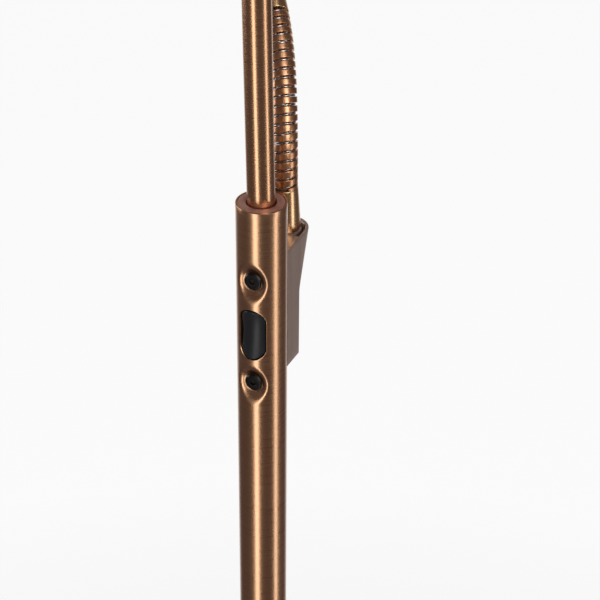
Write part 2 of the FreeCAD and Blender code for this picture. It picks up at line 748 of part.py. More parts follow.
def wound_tube(first, last, radius, ahead, wire_r):
    """One unbroken wire from turn first to turn last, on biarcs of a quarter turn."""
    count = max(2, int(math.ceil((last - first) * 4)))
    edges = []
    for i in range(count):
        a = first + (last - first) * i / count
        b = first + (last - first) * (i + 1) / count
        edges += biarc(
            coil_point(a, radius, ahead), coil_tangent(a, radius, ahead),
            coil_point(b, radius, ahead), coil_tangent(b, radius, ahead))
    spine = Part.Wire(edges)
    start = coil_point(first, radius, ahead)
    profile = Part.Wire(Part.makeCircle(wire_r, start, coil_tangent(first, radius, ahead)))
    shell = Part.BRepOffsetAPI.MakePipeShell(spine)
    shell.add(profile)
    shell.build()
    shell.makeSolid()
    return shell.shape()


def joint_turns():
    """How many turns of the coil lie below each bend joint."""
    return [ROOT_TURNS + STEP_TURNS * i for i in range(BEND_JOINTS)]


def coil_spans():
    marks = [0.0] + joint_turns() + [COIL_TURNS]
    return list(zip(marks[:-1], marks[1:]))


def cut_turns():
    return CUT_GAP / (2 * math.pi * COIL_CENTRE_R)


def neck_coil(index):
    """One stretch of the outer coil, between two bend joints."""
    first, last = coil_spans()[index]
    if index > 0:
        first = first + cut_turns()
    if index < BEND_JOINTS:
        last = last - cut_turns()
    return wound_tube(first, last, COIL_CENTRE_R, 0.0, COIL_WIRE_R)


def neck_core(index):
    """The inner coil's stretch that lies in the outer coil's groove."""
    first, last = coil_spans()[index]
    last = last - CORE_BACK
    return wound_tube(first + CORE_AHEAD, last, CORE_R, 0.5, CORE_WIRE_R)


def least_coil_gap():
    """Least gap between turns of the outer coil, measured on points."""
    per_turn = 24
    total = int(COIL_TURNS * per_turn)
    points = [coil_point(i / per_turn, COIL_CENTRE_R, 0.0) for i in range(total + 1)]
    least = 1e9
    for i, point in enumerate(points):
        for other in points[i + per_turn // 2:i + 2 * per_turn]:
            least = min(least, (other - point).Length)
    return least - 2 * COIL_WIRE_R


# ================================================================ arm
def arm_frame(distance):
    """Axes at a distance along the straight arm: place, side, normal, direction."""
    tangent, side, outward = neck_directions(COIL_LENGTH)
    return neck_centre(COIL_LENGTH) + tangent * distance, outward, side, tangent


def on_arm(shape, distance):
    origin, outward, side, tangent = arm_frame(distance)
    return on_frame(shape, origin, outward, side, tangent)


def arm_tube_start():
    return ARM_FERRULE_L - ARM_SOCKET


def arm_ferrule():
    """The ferrule between the gooseneck's top and the rigid arm."""
    tip = ARM_R + ARM_FERRULE_LIP
    edge = ARM_FERRULE_EDGE
    body = turned(outline([
        (0, 0), (ARM_FERRULE_R - edge, 0), (ARM_FERRULE_R, edge), (ARM_FERRULE_R, ARM_FERRULE_STRAIGHT),
        (tip, ARM_FERRULE_L - edge), (tip - edge, ARM_FERRULE_L), (0, ARM_FERRULE_L),
    ]))
    body = body.cut(rod(ARM_R + SEAT_GAP, arm_tube_start(), ARM_FERRULE_L + PAST))
    return on_arm(body.cut(rod(STUD_BORE, -PAST, ARM_FERRULE_L)), 0)


def arm_tube():
    start = arm_tube_start() + SEAT_GAP
    return on_arm(ring(ARM_R, ARM_R - ARM_WALL, start, start + ARM_L), 0)


def arm_tube_end():
    return arm_tube_start() + SEAT_GAP + ARM_L


def forked_end(radius, spigot_r, spigot_l, pivot, ear_r, ear_t, tongue_t, pin_r):
    """A fork on a spigot: axis +Z, pin along Y, the tube's end at z = 0."""
    gap = tongue_t / 2 + MOVING_GAP
    foot = pivot - ear_r - FORK_THROAT
    half_w = ear_r * EAR_SHARE
    body = rod(spigot_r, -spigot_l, 0).fuse(rod(radius, 0, foot))
    for side in (-1, 1):
        y0 = min(side * gap, side * (gap + ear_t))
        ear = block(-half_w, half_w, y0, y0 + ear_t, foot - PAST, pivot)
        ear = ear.fuse(Part.makeCylinder(half_w, ear_t, V(0, y0, pivot), V(0, 1, 0)))
        body = body.fuse(ear.common(rod(radius + EAR_OVER, 0, pivot + ear_r)))
    reach = 2 * radius
    return body.cut(Part.makeCylinder(pin_r + PIN_SEAT_GAP, 2 * reach, V(0, -reach, pivot), V(0, 1, 0)))


def tongue(pivot_r, thickness, pin_r, length, foot_r, foot_t):
    """A flat tongue round the pin at the origin, with a round foot at z = length."""
    half_w = pivot_r * EAR_SHARE
    plate = block(-half_w, half_w, -thickness / 2, thickness / 2, 0, length - foot_t)
    eye = Part.makeCylinder(half_w, thickness, V(0, -thickness / 2, 0), V(0, 1, 0))
    body = plate.fuse(eye).fuse(rod(foot_r, length - foot_t, length))
    return body.cut(Part.makeCylinder(pin_r + HINGE_GAP, 2 * thickness, V(0, -thickness, 0), V(0, 1, 0)))


def pin_half_length(tongue_t, ear_t):
    return tongue_t / 2 + MOVING_GAP + ear_t


def head_fork():
    spigot = ARM_R - ARM_WALL - SEAT_GAP
    fork = forked_end(FORK_R, spigot, FORK_SPIGOT, HEAD_PIVOT, FORK_EAR_R, FORK_EAR_T, TONGUE_T, HEAD_PIN_R)
    return on_arm(fork.cut(rod(STUD_BORE, -FORK_SPIGOT - PAST, HEAD_PIVOT)), arm_tube_end())


def head_pin():
    half = pin_half_length(TONGUE_T, FORK_EAR_T)
    pin = Part.makeCylinder(HEAD_PIN_R, 2 * half, V(0, -half, HEAD_PIVOT), V(0, 1, 0))
    return on_arm(pin, arm_tube_end())


def head_pivot_point():
    return arm_frame(arm_tube_end() + HEAD_PIVOT)[0]


def on_head(shape):
    """Hang a shape, built along +Z from the pivot, so that +Z is where the head aims."""
    side = arm_frame(0)[2]
    flat = side.cross(UP)
    aim = math.radians(HEAD_AIM)
    beam = flat * math.sin(aim) - UP * math.cos(aim)
    return on_frame(shape, head_pivot_point(), side.cross(beam), side, beam)


def head_tongue():
    return on_head(tongue(FORK_EAR_R, TONGUE_T, HEAD_PIN_R, HEAD_NECK, HEAD_FOOT_R, HEAD_FOOT_T))


def shade_outline(offset):
    """Half outline of the reading head's shade: domed back and a straight skirt."""
    z0 = HEAD_NECK + offset
    z1 = HEAD_NECK + HEAD_DOME
    z2 = head_mouth_z() + (PAST if offset else 0)
    r = HEAD_R - offset
    back = HEAD_BACK_R - offset / 2
    mid_r = back + (r - back) * HEAD_DOME_OUT
    mid_z = z0 + (z1 - z0) * HEAD_DOME_UP
    return [
        line(0, z0, back, z0),
        corner(back, z0, r, z1, mid_r, mid_z),
        line(r, z1, r, z2),
        line(r, z2, 0, z2),
        line(0, z2, 0, z0),
    ]


def head_shade():
    return on_head(turned(shade_outline(0)).cut(turned(shade_outline(HEAD_WALL))))


def head_mouth_z():
    return HEAD_NECK + HEAD_DOME + HEAD_SKIRT


def head_bezel():
    """The ring inside the shade's mouth that holds the lens."""
    outer = HEAD_R - HEAD_WALL - SEAT_GAP
    top = lens_back_z()
    return on_head(ring(outer, outer - HEAD_BEZEL_W, top - HEAD_BEZEL_T, top))


def lens_back_z():
    return head_mouth_z() - HEAD_LENS_IN - HEAD_LENS_T


def head_lens():
    outer = HEAD_R - HEAD_WALL - LOOSE_GAP
    bottom = lens_back_z() + SEAT_GAP
    return on_head(rod(outer, bottom, lens_back_z() + HEAD_LENS_T))


def head_board_z():
    return lens_back_z() - HEAD_BOARD_DEEP


def head_heat_sink():
    """A disc with slots across its back and a flange out to the shade's wall."""
    z1 = head_board_z()
    z0 = z1 - HEAD_SINK_T
    flange = z1 - HEAD_FLANGE_T
    body = rod(HEAD_SINK_R, z0, z1).fuse(rod(HEAD_R - HEAD_WALL - LOOSE_GAP, flange, z1))
    for i in range(HEAD_FIN_SLOTS):
        x = (i - (HEAD_FIN_SLOTS - 1) / 2) * HEAD_FIN_STEP
        left = x - HEAD_FIN_SLOT / 2
        body = body.cut(block(left, left + HEAD_FIN_SLOT, -HEAD_R, HEAD_R, z0 - PAST, flange))
    return on_head(body)


def head_led_board():
    z0 = head_board_z()
    return on_head(rod(HEAD_BOARD_R, z0, z0 + HEAD_BOARD_T))


# ================================================================ uplighter
def uplight_fork():
    fork = forked_end(UP_FORK_R, THIN_BORE - SEAT_GAP, UP_SPIGOT, UP_PIVOT, UP_EAR_R, UP_EAR_T,
                      UP_TONGUE_T, UP_PIN_R)
    fork = fork.cut(rod(STUD_BORE, -UP_SPIGOT - PAST, UP_PIVOT))
    fork.translate(V(0, 0, THIN_TOP_Z))
    return leaned(fork)


def uplight_pivot_z():
    return THIN_TOP_Z + UP_PIVOT


def uplight_pin():
    half = pin_half_length(UP_TONGUE_T, UP_EAR_T)
    return leaned(Part.makeCylinder(UP_PIN_R, 2 * half, V(0, -half, uplight_pivot_z()), V(0, 1, 0)))


def uplight_tongue():
    body = tongue(UP_EAR_R, UP_TONGUE_T, UP_PIN_R, UP_NECK, UP_PAD_R, UP_PAD_T)
    for x, y in bowl_screw_places():
        body = body.cut(rod(BOWL_SCREW_R + SEAT_GAP, UP_NECK - UP_PAD_T - PAST, UP_NECK + PAST, x, y))
    body.translate(V(0, 0, uplight_pivot_z()))
    return leaned(body)


def bowl_floor_z():
    return uplight_pivot_z() + UP_NECK


def bowl_outline(offset):
    """Half outline of the bowl, its wall moved inwards by offset, open at the top."""
    z0 = bowl_floor_z() + offset
    z1 = bowl_floor_z() + BOWL_H - BOWL_RIM_H
    z2 = bowl_floor_z() + BOWL_H + (PAST if offset else 0)
    r = BOWL_R - offset
    mid_r = BOWL_FLOOR_R + (r - BOWL_FLOOR_R) * BOWL_CURVE_OUT
    mid_z = z0 + (z1 - z0) * BOWL_CURVE_UP
    return [
        line(0, z0, BOWL_FLOOR_R, z0),
        corner(BOWL_FLOOR_R, z0, r, z1, mid_r, mid_z),
        line(r, z1, r, z2),
        line(r, z2, 0, z2),
        line(0, z2, 0, z0),
    ]


def bowl_screw_places():
    places = []
    for i in range(3):
        angle = math.radians(90 + 120 * i)
        places.append((BOWL_SCREW_CIRCLE * math.cos(angle), BOWL_SCREW_CIRCLE * math.sin(angle)))
    return places


def uplight_bowl():
    bowl = turned(bowl_outline(0)).cut(turned(bowl_outline(BOWL_WALL)))
    z = bowl_floor_z()
    for x, y in bowl_screw_places():
        bowl = bowl.cut(rod(BOWL_SCREW_R + LOOSE_GAP, z - PAST, z + BOWL_WALL + PAST, x, y))
    return leaned(bowl)


def uplight_screws():
    """Three screws that hold the bowl on the tongue's foot."""
    z = bowl_floor_z() + BOWL_WALL + SEAT_GAP
    screws = []
    for x, y in bowl_screw_places():
        shank = rod(BOWL_SCREW_R, z - BOWL_WALL - UP_PAD_T + BOWL_SCREW_SHORT, z, x, y)
        head = rod(BOWL_SCREW_HEAD_R, z, z + BOWL_SCREW_HEAD_H, x, y)
        screws.append(leaned(head.fuse(shank)))
    return Part.makeCompound(screws)


def uplight_heat_sink():
    """A thick disc on the bowl's floor, hollowed below for the screw heads."""
    z = bowl_floor_z() + BOWL_WALL
    body = rod(UP_SINK_R, z, z + UP_SINK_T)
    return leaned(body.cut(rod(UP_PAD_R, z - PAST, z + BOWL_SCREW_HEAD_H + PAST)))


def uplight_led_board():
    z = bowl_floor_z() + BOWL_WALL + UP_SINK_T
    return leaned(rod(UP_BOARD_R, z, z + UP_BOARD_T))


def diffuser_z():
    return bowl_floor_z() + BOWL_H - DIFFUSER_IN - DIFFUSER_T


def uplight_ledge():
    """The ring inside the bowl's rim that the diffuser lies on."""
    outer = BOWL_R - BOWL_WALL - SEAT_GAP
    return leaned(ring(outer, outer - LEDGE_W, diffuser_z() - LEDGE_T, diffuser_z()))


def uplight_diffuser():
    outer = BOWL_R - BOWL_WALL - MOVING_GAP / 2
    return leaned(rod(outer, diffuser_z(), diffuser_z() + DIFFUSER_T))


# ================================================================ all pieces
def all_pieces():
    pieces = {
        "base_pad": base_pad, "base_weight": base_weight, "base_cover": base_cover,
        "base_washer": base_washer, "base_nut": base_nut, "base_threaded_rod": base_threaded_rod,
        "base_collar": base_collar, "cord_inlet": cord_inlet,
        "pole_foot_plug": pole_foot_plug, "pole_lower_tube": pole_lower_tube,
        "pole_coupler": pole_coupler, "pole_switch_tube": pole_switch_tube, "pole_bush": pole_bush,
        "upper_pole": upper_pole, "upper_pole_plug": upper_pole_plug,
        "upper_pole_rod": upper_pole_rod, "upper_pole_nut": upper_pole_nut,
        "switch_rocker": switch_rocker, "switch_pivot_pin": switch_pivot_pin,
        "switch_body": switch_body, "switch_frame": switch_frame, "switch_screws": switch_screws,
        "arm_bracket": arm_bracket, "bracket_plate": bracket_plate,
        "neck_stud": neck_stud, "neck_nut": neck_nut, "neck_foot": neck_foot,
        "arm_ferrule": arm_ferrule, "arm_tube": arm_tube, "head_fork": head_fork,
        "head_pin": head_pin, "head_tongue": head_tongue, "head_shade": head_shade,
        "head_bezel": head_bezel, "head_lens": head_lens,
        "head_heat_sink": head_heat_sink, "head_led_board": head_led_board,
        "uplight_fork": uplight_fork, "uplight_pin": uplight_pin,
        "uplight_tongue": uplight_tongue, "uplight_bowl": uplight_bowl,
        "uplight_screws": uplight_screws, "uplight_heat_sink": uplight_heat_sink,
        "uplight_led_board": uplight_led_board, "uplight_ledge": uplight_ledge,
        "uplight_diffuser": uplight_diffuser,
    }
    for i in range(BEND_JOINTS + 1):
        pieces["neck_coil_%d" % i] = lambda i=i: neck_coil(i)
    for i in range(1, BEND_JOINTS):
        pieces["neck_core_%d" % i] = lambda i=i: neck_core(i)
    return pieces


def main():
    os.makedirs("parts", exist_ok=True)
    for name, make in all_pieces().items():
        shape = make()
        shape.exportStep("parts/%s.step" % name)
        box = shape.BoundBox
        print("%-18s solids %d valid %s volume %.0f  z %.1f to %.1f" % (
            name, len(shape.Solids), shape.isValid(), shape.Volume, box.ZMin, box.ZMax))
    print("least gap between turns of the outer coil: %.2f mm" % least_coil_gap())


main()
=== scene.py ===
# %% [markdown]
# # A floor lamp in brushed copper-bronze
# The imported CAD lamp is the fixed frame: every piece made here goes where the CAD says, and all
# pieces but the neck's wound stretches ride on one of its bodies. The picture shows the switch
# group, the top of the wide pole, the thin pole that stands in it, and the bending neck of the
# reading arm behind them.

# %% Load the imported lamp
import math
import bmesh
import bpy
import numpy as np
from mathutils import Matrix, Vector


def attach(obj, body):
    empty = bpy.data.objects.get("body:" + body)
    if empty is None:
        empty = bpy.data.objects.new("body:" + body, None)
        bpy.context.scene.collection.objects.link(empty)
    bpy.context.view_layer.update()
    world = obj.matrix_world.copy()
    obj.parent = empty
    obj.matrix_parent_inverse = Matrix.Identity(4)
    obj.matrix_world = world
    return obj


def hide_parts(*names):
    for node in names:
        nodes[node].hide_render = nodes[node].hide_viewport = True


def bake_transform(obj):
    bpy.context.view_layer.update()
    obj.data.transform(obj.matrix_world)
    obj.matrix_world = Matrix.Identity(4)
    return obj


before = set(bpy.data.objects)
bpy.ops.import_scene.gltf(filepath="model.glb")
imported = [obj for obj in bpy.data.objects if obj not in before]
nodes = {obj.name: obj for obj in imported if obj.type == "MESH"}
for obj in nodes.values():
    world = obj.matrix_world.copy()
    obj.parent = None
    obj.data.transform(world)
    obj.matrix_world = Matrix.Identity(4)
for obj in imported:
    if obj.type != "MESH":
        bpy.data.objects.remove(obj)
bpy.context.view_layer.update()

# %% [markdown]
# ## The lamp's own sizes
# These are the measures that several pieces share. They are written in millimetres, as a maker
# would note them, and MM turns them into Blender's metres.

# %% Shared sizes
MM = 0.001
RING = 1180.0
POLE_R = 14.0
POLE_WALL = 1.2
THIN_R = 7.65
SWITCH_Z = RING - 76.6
NECK_Y = 29.1
LEAN = math.radians(0.9)
LEAN_TOWARDS = math.radians(205.8)
lean_axis = Vector((-math.sin(LEAN_TOWARDS), math.cos(LEAN_TOWARDS), 0))
lean_turn = Matrix.Rotation(LEAN, 4, lean_axis)
lean_centre = Matrix.Translation((0, 0, (RING - 10) * MM))
LEANED = lean_centre @ lean_turn @ lean_centre.inverted()
print("ring at", RING * MM, "m, switch at", SWITCH_Z * MM, "m")

# %% [markdown]
# ## Camera
# The camera looks down on the switch from a little to the right of its front. Its place and its
# long lens were fitted to the pole's edges and to the ellipse of its ring, so the lamp fills the
# frame as it does in the photograph.

# %% Camera
VIEW_TURN = math.radians(24.41395)
VIEW_DOWN = 0.553276
VIEW_ROLL = 0.00834211
look = Vector((-math.sin(VIEW_TURN) * math.cos(VIEW_DOWN),
               math.cos(VIEW_TURN) * math.cos(VIEW_DOWN), -math.sin(VIEW_DOWN)))
right = Vector((math.cos(VIEW_TURN), math.sin(VIEW_TURN), 0))
up = right.cross(look)
across = right * math.cos(VIEW_ROLL) + up * math.sin(VIEW_ROLL)
upward = up * math.cos(VIEW_ROLL) - right * math.sin(VIEW_ROLL)
camera_data = bpy.data.cameras.new("studio_camera")
camera_data.sensor_width = 36.0
camera_data.lens = 1850.014 * 36.0 / 600.0
camera_data.clip_start = 0.05
camera = bpy.data.objects.new("studio_camera", camera_data)
bpy.context.scene.collection.objects.link(camera)
turn = Matrix((across, upward, -look)).transposed().to_4x4()
camera.matrix_world = Matrix.Translation((0.37597, -0.77773, 1.652133)) @ turn
bpy.context.scene.camera = camera
bpy.context.scene.view_settings.view_transform = "Standard"
print("lens %.1f mm" % camera_data.lens)

# %% [markdown]
# ## Sums with sockets
# A pattern is easier to read as a sum than as a web of nodes. The class below wraps a socket, so
# that writing a * 2 + b adds the Math nodes for it. One method makes every other kind of node.

# %% Socket sums
class Term:
    """A socket that adds Math nodes when it is used in a sum."""

    def __init__(self, sheet, socket):
        self.sheet = sheet
        self.socket = socket

    def output(self, name):
        """Another output of the same node."""
        return Term(self.sheet, self.socket.node.outputs[name])

    def maths(self, operation, *others):
        return self.sheet.node("ShaderNodeMath", {"operation": operation}, [self, *others])

    def __add__(self, other):
        return self.maths("ADD", other)

    def __sub__(self, other):
        return self.maths("SUBTRACT", other)

    def __rsub__(self, other):
        return self.sheet.node("ShaderNodeMath", {"operation": "SUBTRACT"}, [other, self])

    def __mul__(self, other):
        return self.maths("MULTIPLY", other)

    def __truediv__(self, other):
        return self.maths("DIVIDE", other)

    def __pow__(self, other):
        return self.maths("POWER", other)

    __radd__ = __add__
    __rmul__ = __mul__


class Sheet:
    """A node tree that is written as lines of sums."""

    def __init__(self, tree):
        self.tree = tree
        self.tree.nodes.clear()

    def node(self, kind, settings=None, inputs=None, output=0):
        made = self.tree.nodes.new(kind)
        for key, value in (settings or {}).items():
            setattr(made, key, value)
        pairs = inputs.items() if isinstance(inputs, dict) else enumerate(inputs or [])
        for key, value in pairs:
            if isinstance(value, Term):
                self.tree.links.new(value.socket, made.inputs[key])
            elif value is not None:
                made.inputs[key].default_value = value
        return Term(self, made.outputs[output]) if made.outputs else None

    def vector(self, operation, *values, output="Vector"):
        return self.node("ShaderNodeVectorMath", {"operation": operation}, list(values), output)

    def blend(self, factor, first, second):
        """A colour between two, by a factor from 0 to 1."""
        pair = {"Factor": factor, 6: first, 7: second}
        return self.node("ShaderNodeMix", {"data_type": "RGBA"}, pair, output=2)

    def soft_step(self, value, start, end):
        """0 before start and 1 after end, and a smooth change between them."""
        smooth = {"interpolation_type": "SMOOTHSTEP"}
        return self.node("ShaderNodeMapRange", smooth, [value, start, end, 0.0, 1.0])

    def clamped(self, value):
        return self.node("ShaderNodeClamp", {}, [value])


class Finish(Sheet):
    """The node tree of one material."""

    def __init__(self, name):
        self.material = bpy.data.materials.new(name)
        self.material.use_nodes = True
        super().__init__(self.material.node_tree)

    def place(self, scale=(1, 1, 1), turn=(0, 0, 0), shift=(0, 0, 0)):
        """Object coordinates, shifted and turned first, then stretched."""
        place = self.node("ShaderNodeTexCoord", output="Object")
        if any(turn) or any(shift):
            place = self.node("ShaderNodeMapping", {"vector_type": "TEXTURE"},
                              {"Vector": place, "Location": shift, "Rotation": turn})
        return self.node("ShaderNodeMapping", {}, {"Vector": place, "Scale": scale})

    def noise(self, place, scale=1.0, detail=2.0, roughness=0.5):
        return self.node("ShaderNodeTexNoise", {"noise_dimensions": "3D"},
                         {"Vector": place, "Scale": scale, "Detail": detail, "Roughness": roughness})

    def bump(self, height, strength, distance):
        return self.node("ShaderNodeBump", {}, {"Height": height, "Strength": strength, "Distance": distance})

    def surface(self, **sockets):
        """Finish the material with one Principled shader."""
        inputs = {key.replace("_", " "): value for key, value in sockets.items()}
        shader = self.node("ShaderNodeBsdfPrincipled", {}, inputs)
        self.node("ShaderNodeOutputMaterial", {}, {"Surface": shader})
        return self.material


def rgb(red, green, blue):
    return (red, green, blue, 1.0)


print("socket sums ready")

# %% [markdown]
# ## Studio: surroundings
# Polished metal shows its surroundings more than its own colour. The pole mirrors two tall soft
# lights as bright stripes and falls dark between them, where it mirrors the dim side of the room.
# So what the metal mirrors is white low down behind the lamp and a warm dim brown elsewhere, by
# direction alone. The camera itself sees white everywhere, and the soft light that the
# surroundings give off is the same from all sides.

# %% Surroundings
AWAY = Vector((look.x, look.y, 0)).normalized()
AMBIENT = 0.34
DIM_SIDE = (0.105, 0.083, 0.088, 1)
WHITE = (1, 1, 1, 1)
# Where the white begins and is full: how nearly a level direction points straight away from
# the camera, and how far a direction rises.
WHITE_SIDES = (0.66, 0.97)
WHITE_TOP = (0.50, 0.12)


def white_behind(sheet, direction):
    """1 where a direction points low and away from the camera, 0 at the sides, in front and overhead."""
    height = sheet.node("ShaderNodeSeparateXYZ", {}, [direction]).output("Z")
    level = sheet.vector("NORMALIZE", sheet.vector("MULTIPLY", direction, (1, 1, 0)))
    away = sheet.vector("DOT_PRODUCT", level, tuple(AWAY), output="Value")
    return sheet.soft_step(away, *WHITE_SIDES) * sheet.soft_step(height, *WHITE_TOP)


world = bpy.data.worlds.new("studio_surroundings")
world.use_nodes = True
bpy.context.scene.world = world
sky = Sheet(world.node_tree)
ray = sky.node("ShaderNodeLightPath")
mirrored = ray.output("Is Glossy Ray")
plain = ray.output("Is Camera Ray") + ray.output("Is Transmission Ray")
behind = white_behind(sky, sky.node("ShaderNodeTexCoord", output="Generated"))
shade = sky.blend(mirrored, WHITE, sky.blend(behind, DIM_SIDE, WHITE))
strength = plain + (1 - plain) * (mirrored + (1 - mirrored) * AMBIENT)
backdrop = sky.node("ShaderNodeBackground", {}, {"Color": shade, "Strength": strength})
sky.node("ShaderNodeOutputWorld", {}, {"Surface": backdrop})
print("white behind, dim in front, ambient", AMBIENT)

# %% [markdown]
# ## Studio: floor
# The floor is one wide pale sheet. Most of what the camera sees of it is its own white, and the
# rest is the light that falls on it, which keeps the lamp's soft shadow, most of all near the
# base, so its own white grows from the base outwards. In the metal it shows as the surroundings
# do: white behind the lamp and dim in front.

# %% Floor
FLOOR_HALF = 8.0
FLOOR_NEAR, FLOOR_FAR = 0.4, 1.3
OWN_WHITE_NEAR, OWN_WHITE_FAR = 0.7, 0.93
floor_paint = Finish("pale studio floor")
lit = floor_paint.node("ShaderNodeBsdfDiffuse", {}, {"Color": (0.86, 0.86, 0.86, 1)})
white = floor_paint.node("ShaderNodeEmission", {}, {"Color": WHITE, "Strength": 1.0})
spot = floor_paint.node("ShaderNodeNewGeometry", output="Position")
floor_tint = floor_paint.blend(white_behind(floor_paint, spot), DIM_SIDE, WHITE)
in_metal = floor_paint.node("ShaderNodeEmission", {}, {"Color": floor_tint, "Strength": 1.0})
path = floor_paint.node("ShaderNodeLightPath")
shown = path.output("Is Camera Ray") + path.output("Is Transmission Ray")
reach = floor_paint.vector("LENGTH", spot, output="Value")
own_white = floor_paint.node("ShaderNodeMapRange", {},
                             [reach, FLOOR_NEAR, FLOOR_FAR, OWN_WHITE_NEAR, OWN_WHITE_FAR])
floor_mix = floor_paint.node("ShaderNodeMixShader", {}, [shown * own_white, lit, white])
floor_all = floor_paint.node("ShaderNodeMixShader", {}, [path.output("Is Glossy Ray"), floor_mix, in_metal])
floor_paint.node("ShaderNodeOutputMaterial", {}, {"Surface": floor_all})
floor_corners = [(x * FLOOR_HALF, y * FLOOR_HALF, 0) for x, y in ((-1, -1), (1, -1), (1, 1), (-1, 1))]
floor_mesh = bpy.data.meshes.new("studio_floor")
floor_mesh.from_pydata(floor_corners, [], [(0, 1, 2, 3)])
floor_mesh.materials.append(floor_paint.material)
floor = bpy.data.objects.new("studio_floor", floor_mesh)
bpy.context.scene.collection.objects.link(floor)
print("floor", 2 * FLOOR_HALF, "m wide")

# %% [markdown]
# ## Studio: lights
# Two tall soft boxes stand low at the camera's left and right, as a product photographer sets them
# for a round metal pole, and give the pole its two stripes. A third hangs high at the right and
# lights what leans back or faces up: the neck's turns, the rocker's rim and the hollows. A small
# one at the far left gives the neck its second, narrow gleam, and a dim one hangs overhead. The
# camera doesn't see the panels, but the metal does.

# %% Lights
CAMERA_COMPASS = math.degrees(math.atan2(-look.y, -look.x))


def soft_box(name, turned_by, distance, size, middle, radiance, target=1.02):
    """A light panel, turned_by degrees to the right of the camera, that faces the pole at a height."""
    compass = math.radians(CAMERA_COMPASS + turned_by)
    place = Vector((math.cos(compass) * distance, math.sin(compass) * distance, middle))
    lamp_data = bpy.data.lights.new(name, "AREA")
    lamp_data.shape = "RECTANGLE"
    lamp_data.size, lamp_data.size_y = size
    lamp_data.energy = radiance * math.pi * size[0] * size[1]
    lamp = bpy.data.objects.new(name, lamp_data)
    lamp.location = place
    lamp.rotation_euler = (place - Vector((0, 0, target))).to_track_quat("Z", "Y").to_euler()
    lamp.visible_camera = False
    bpy.context.scene.collection.objects.link(lamp)
    return lamp


soft_box("left_soft_box", -26.4, 0.8, (0.27, 1.20), 0.62, 3.1, 0.62)
soft_box("right_soft_box", 66.6, 0.8, (0.21, 1.20), 0.62, 2.6, 0.62)
soft_box("high_soft_box", 33.0, 1.25, (0.60, 1.20), 2.0, 4.4, 1.25)
soft_box("far_left_panel", -110.0, 1.3, (0.76, 0.60), 1.2, 4.0, 1.2)
soft_box("overhead_panel", 20.0, 0.45, (0.9, 0.9), 2.7, 1.6, 1.25)
print("lights", len(bpy.data.lights))

# %% [markdown]
# ## Brushed copper-bronze
# The tubes are steel, plated, darkened to an antique copper and brushed while they turn, so the
# scratches run round them. Under soft strip lights such a surface glows gold where it mirrors a
# light and falls to a dark red-brown beside it. One noise, stretched round the tube and squeezed
# along it, gives both the scratches' relief and their small changes of colour. A clear coat over
# it gives the pale edges that a lacquered tube has.

# %% Brushed copper-bronze
def brushed_bronze(name, along, light, dark, rough=0.29, round_scale=34.0, line_scale=2600.0,
                   relief=0.04, coat=0.45):
    """Fine scratches that run round the direction given by along."""
    finish = Finish(name)
    turn = Vector(along).to_track_quat("Z", "Y").to_euler()
    fine = finish.noise(finish.place((round_scale, round_scale, line_scale), tuple(turn)), 1.0, 2.0, 0.5)
    broad = finish.noise(finish.place((7, 7, line_scale / 6), tuple(turn), (0.31, 0.17, 0.05)), 1.0, 2.0)
    cloud = finish.noise(finish.place((22, 22, 14), tuple(turn), (0.7, 0.2, 0.4)), 1.0, 2.0)
    shade = finish.clamped(fine * 0.36 + broad * 0.2 + cloud * 0.4 + 0.02)
    relief_map = finish.bump(fine, relief, 0.00025)
    return finish.surface(
        Base_Color=finish.blend(shade, dark, light),
        Metallic=1.0,
        Roughness=rough + (fine - 0.5) * 0.10 + (broad - 0.5) * 0.03,
        Coat_Weight=coat,
        Coat_Roughness=0.2,
        Normal=relief_map,
    )


COPPER_LIGHT = rgb(0.66, 0.385, 0.21)
COPPER_DARK = rgb(0.47, 0.245, 0.125)
tube_copper = brushed_bronze("brushed copper, round the pole", (0, 0, 1), COPPER_LIGHT, COPPER_DARK)
print(tube_copper.name)

# %% [markdown]
# ## Other bronze finishes
# The bracket is brushed along its length and is a greyer brown. The bush in the pole's top was
# faced on a lathe, which leaves rings round its axis, so its pattern depends on the distance from
# that axis. The neck's foot is a lighter, more golden bronze.

# %% Other bronze finishes
def long_brushed(name, light, dark):
    """Scratches along Z, on flat sides."""
    finish = Finish(name)
    fine = finish.noise(finish.place((1500, 1500, 26)), 1.0, 3.0, 0.6)
    broad = finish.noise(finish.place((240, 240, 9), shift=(0.1, 0.2, 0.3)), 1.0, 2.0)
    shade = finish.clamped(fine * 0.6 + broad * 0.7 - 0.15)
    return finish.surface(
        Base_Color=finish.blend(shade, dark, light), Metallic=1.0,
        Roughness=0.5 + (fine - 0.5) * 0.15, Coat_Weight=0.4, Coat_Roughness=0.3,
        Normal=finish.bump(fine, 0.3, 0.0002))


def lathe_turned(name, light, dark, centre=(0, 0, 0), along=(0, 0, 1), rough=0.32, rings=3200.0, relief=0.12):
    """Rings round an axis through centre, from the distance to that axis."""
    finish = Finish(name)
    turn = tuple(Vector(along).to_track_quat("Z", "Y").to_euler())
    apart = finish.node("ShaderNodeSeparateXYZ", {}, [finish.place(turn=turn, shift=centre)])
    x, y, z = (apart.output(axis) for axis in "XYZ")
    reach = (x * x + y * y) ** 0.5
    groove = finish.node("ShaderNodeTexNoise", {"noise_dimensions": "1D"},
                         {"W": (reach + z) * rings, "Scale": 1.0, "Detail": 2.0})
    cloud = finish.noise(finish.place((60, 60, 60)), 1.0, 2.0)
    shade = finish.clamped(groove * 0.5 + cloud * 0.5)
    return finish.surface(
        Base_Color=finish.blend(shade, dark, light), Metallic=1.0,
        Roughness=rough + (groove - 0.5) * 0.12, Coat_Weight=0.3, Coat_Roughness=0.3,
        Normal=finish.bump(groove, relief, 0.0002))


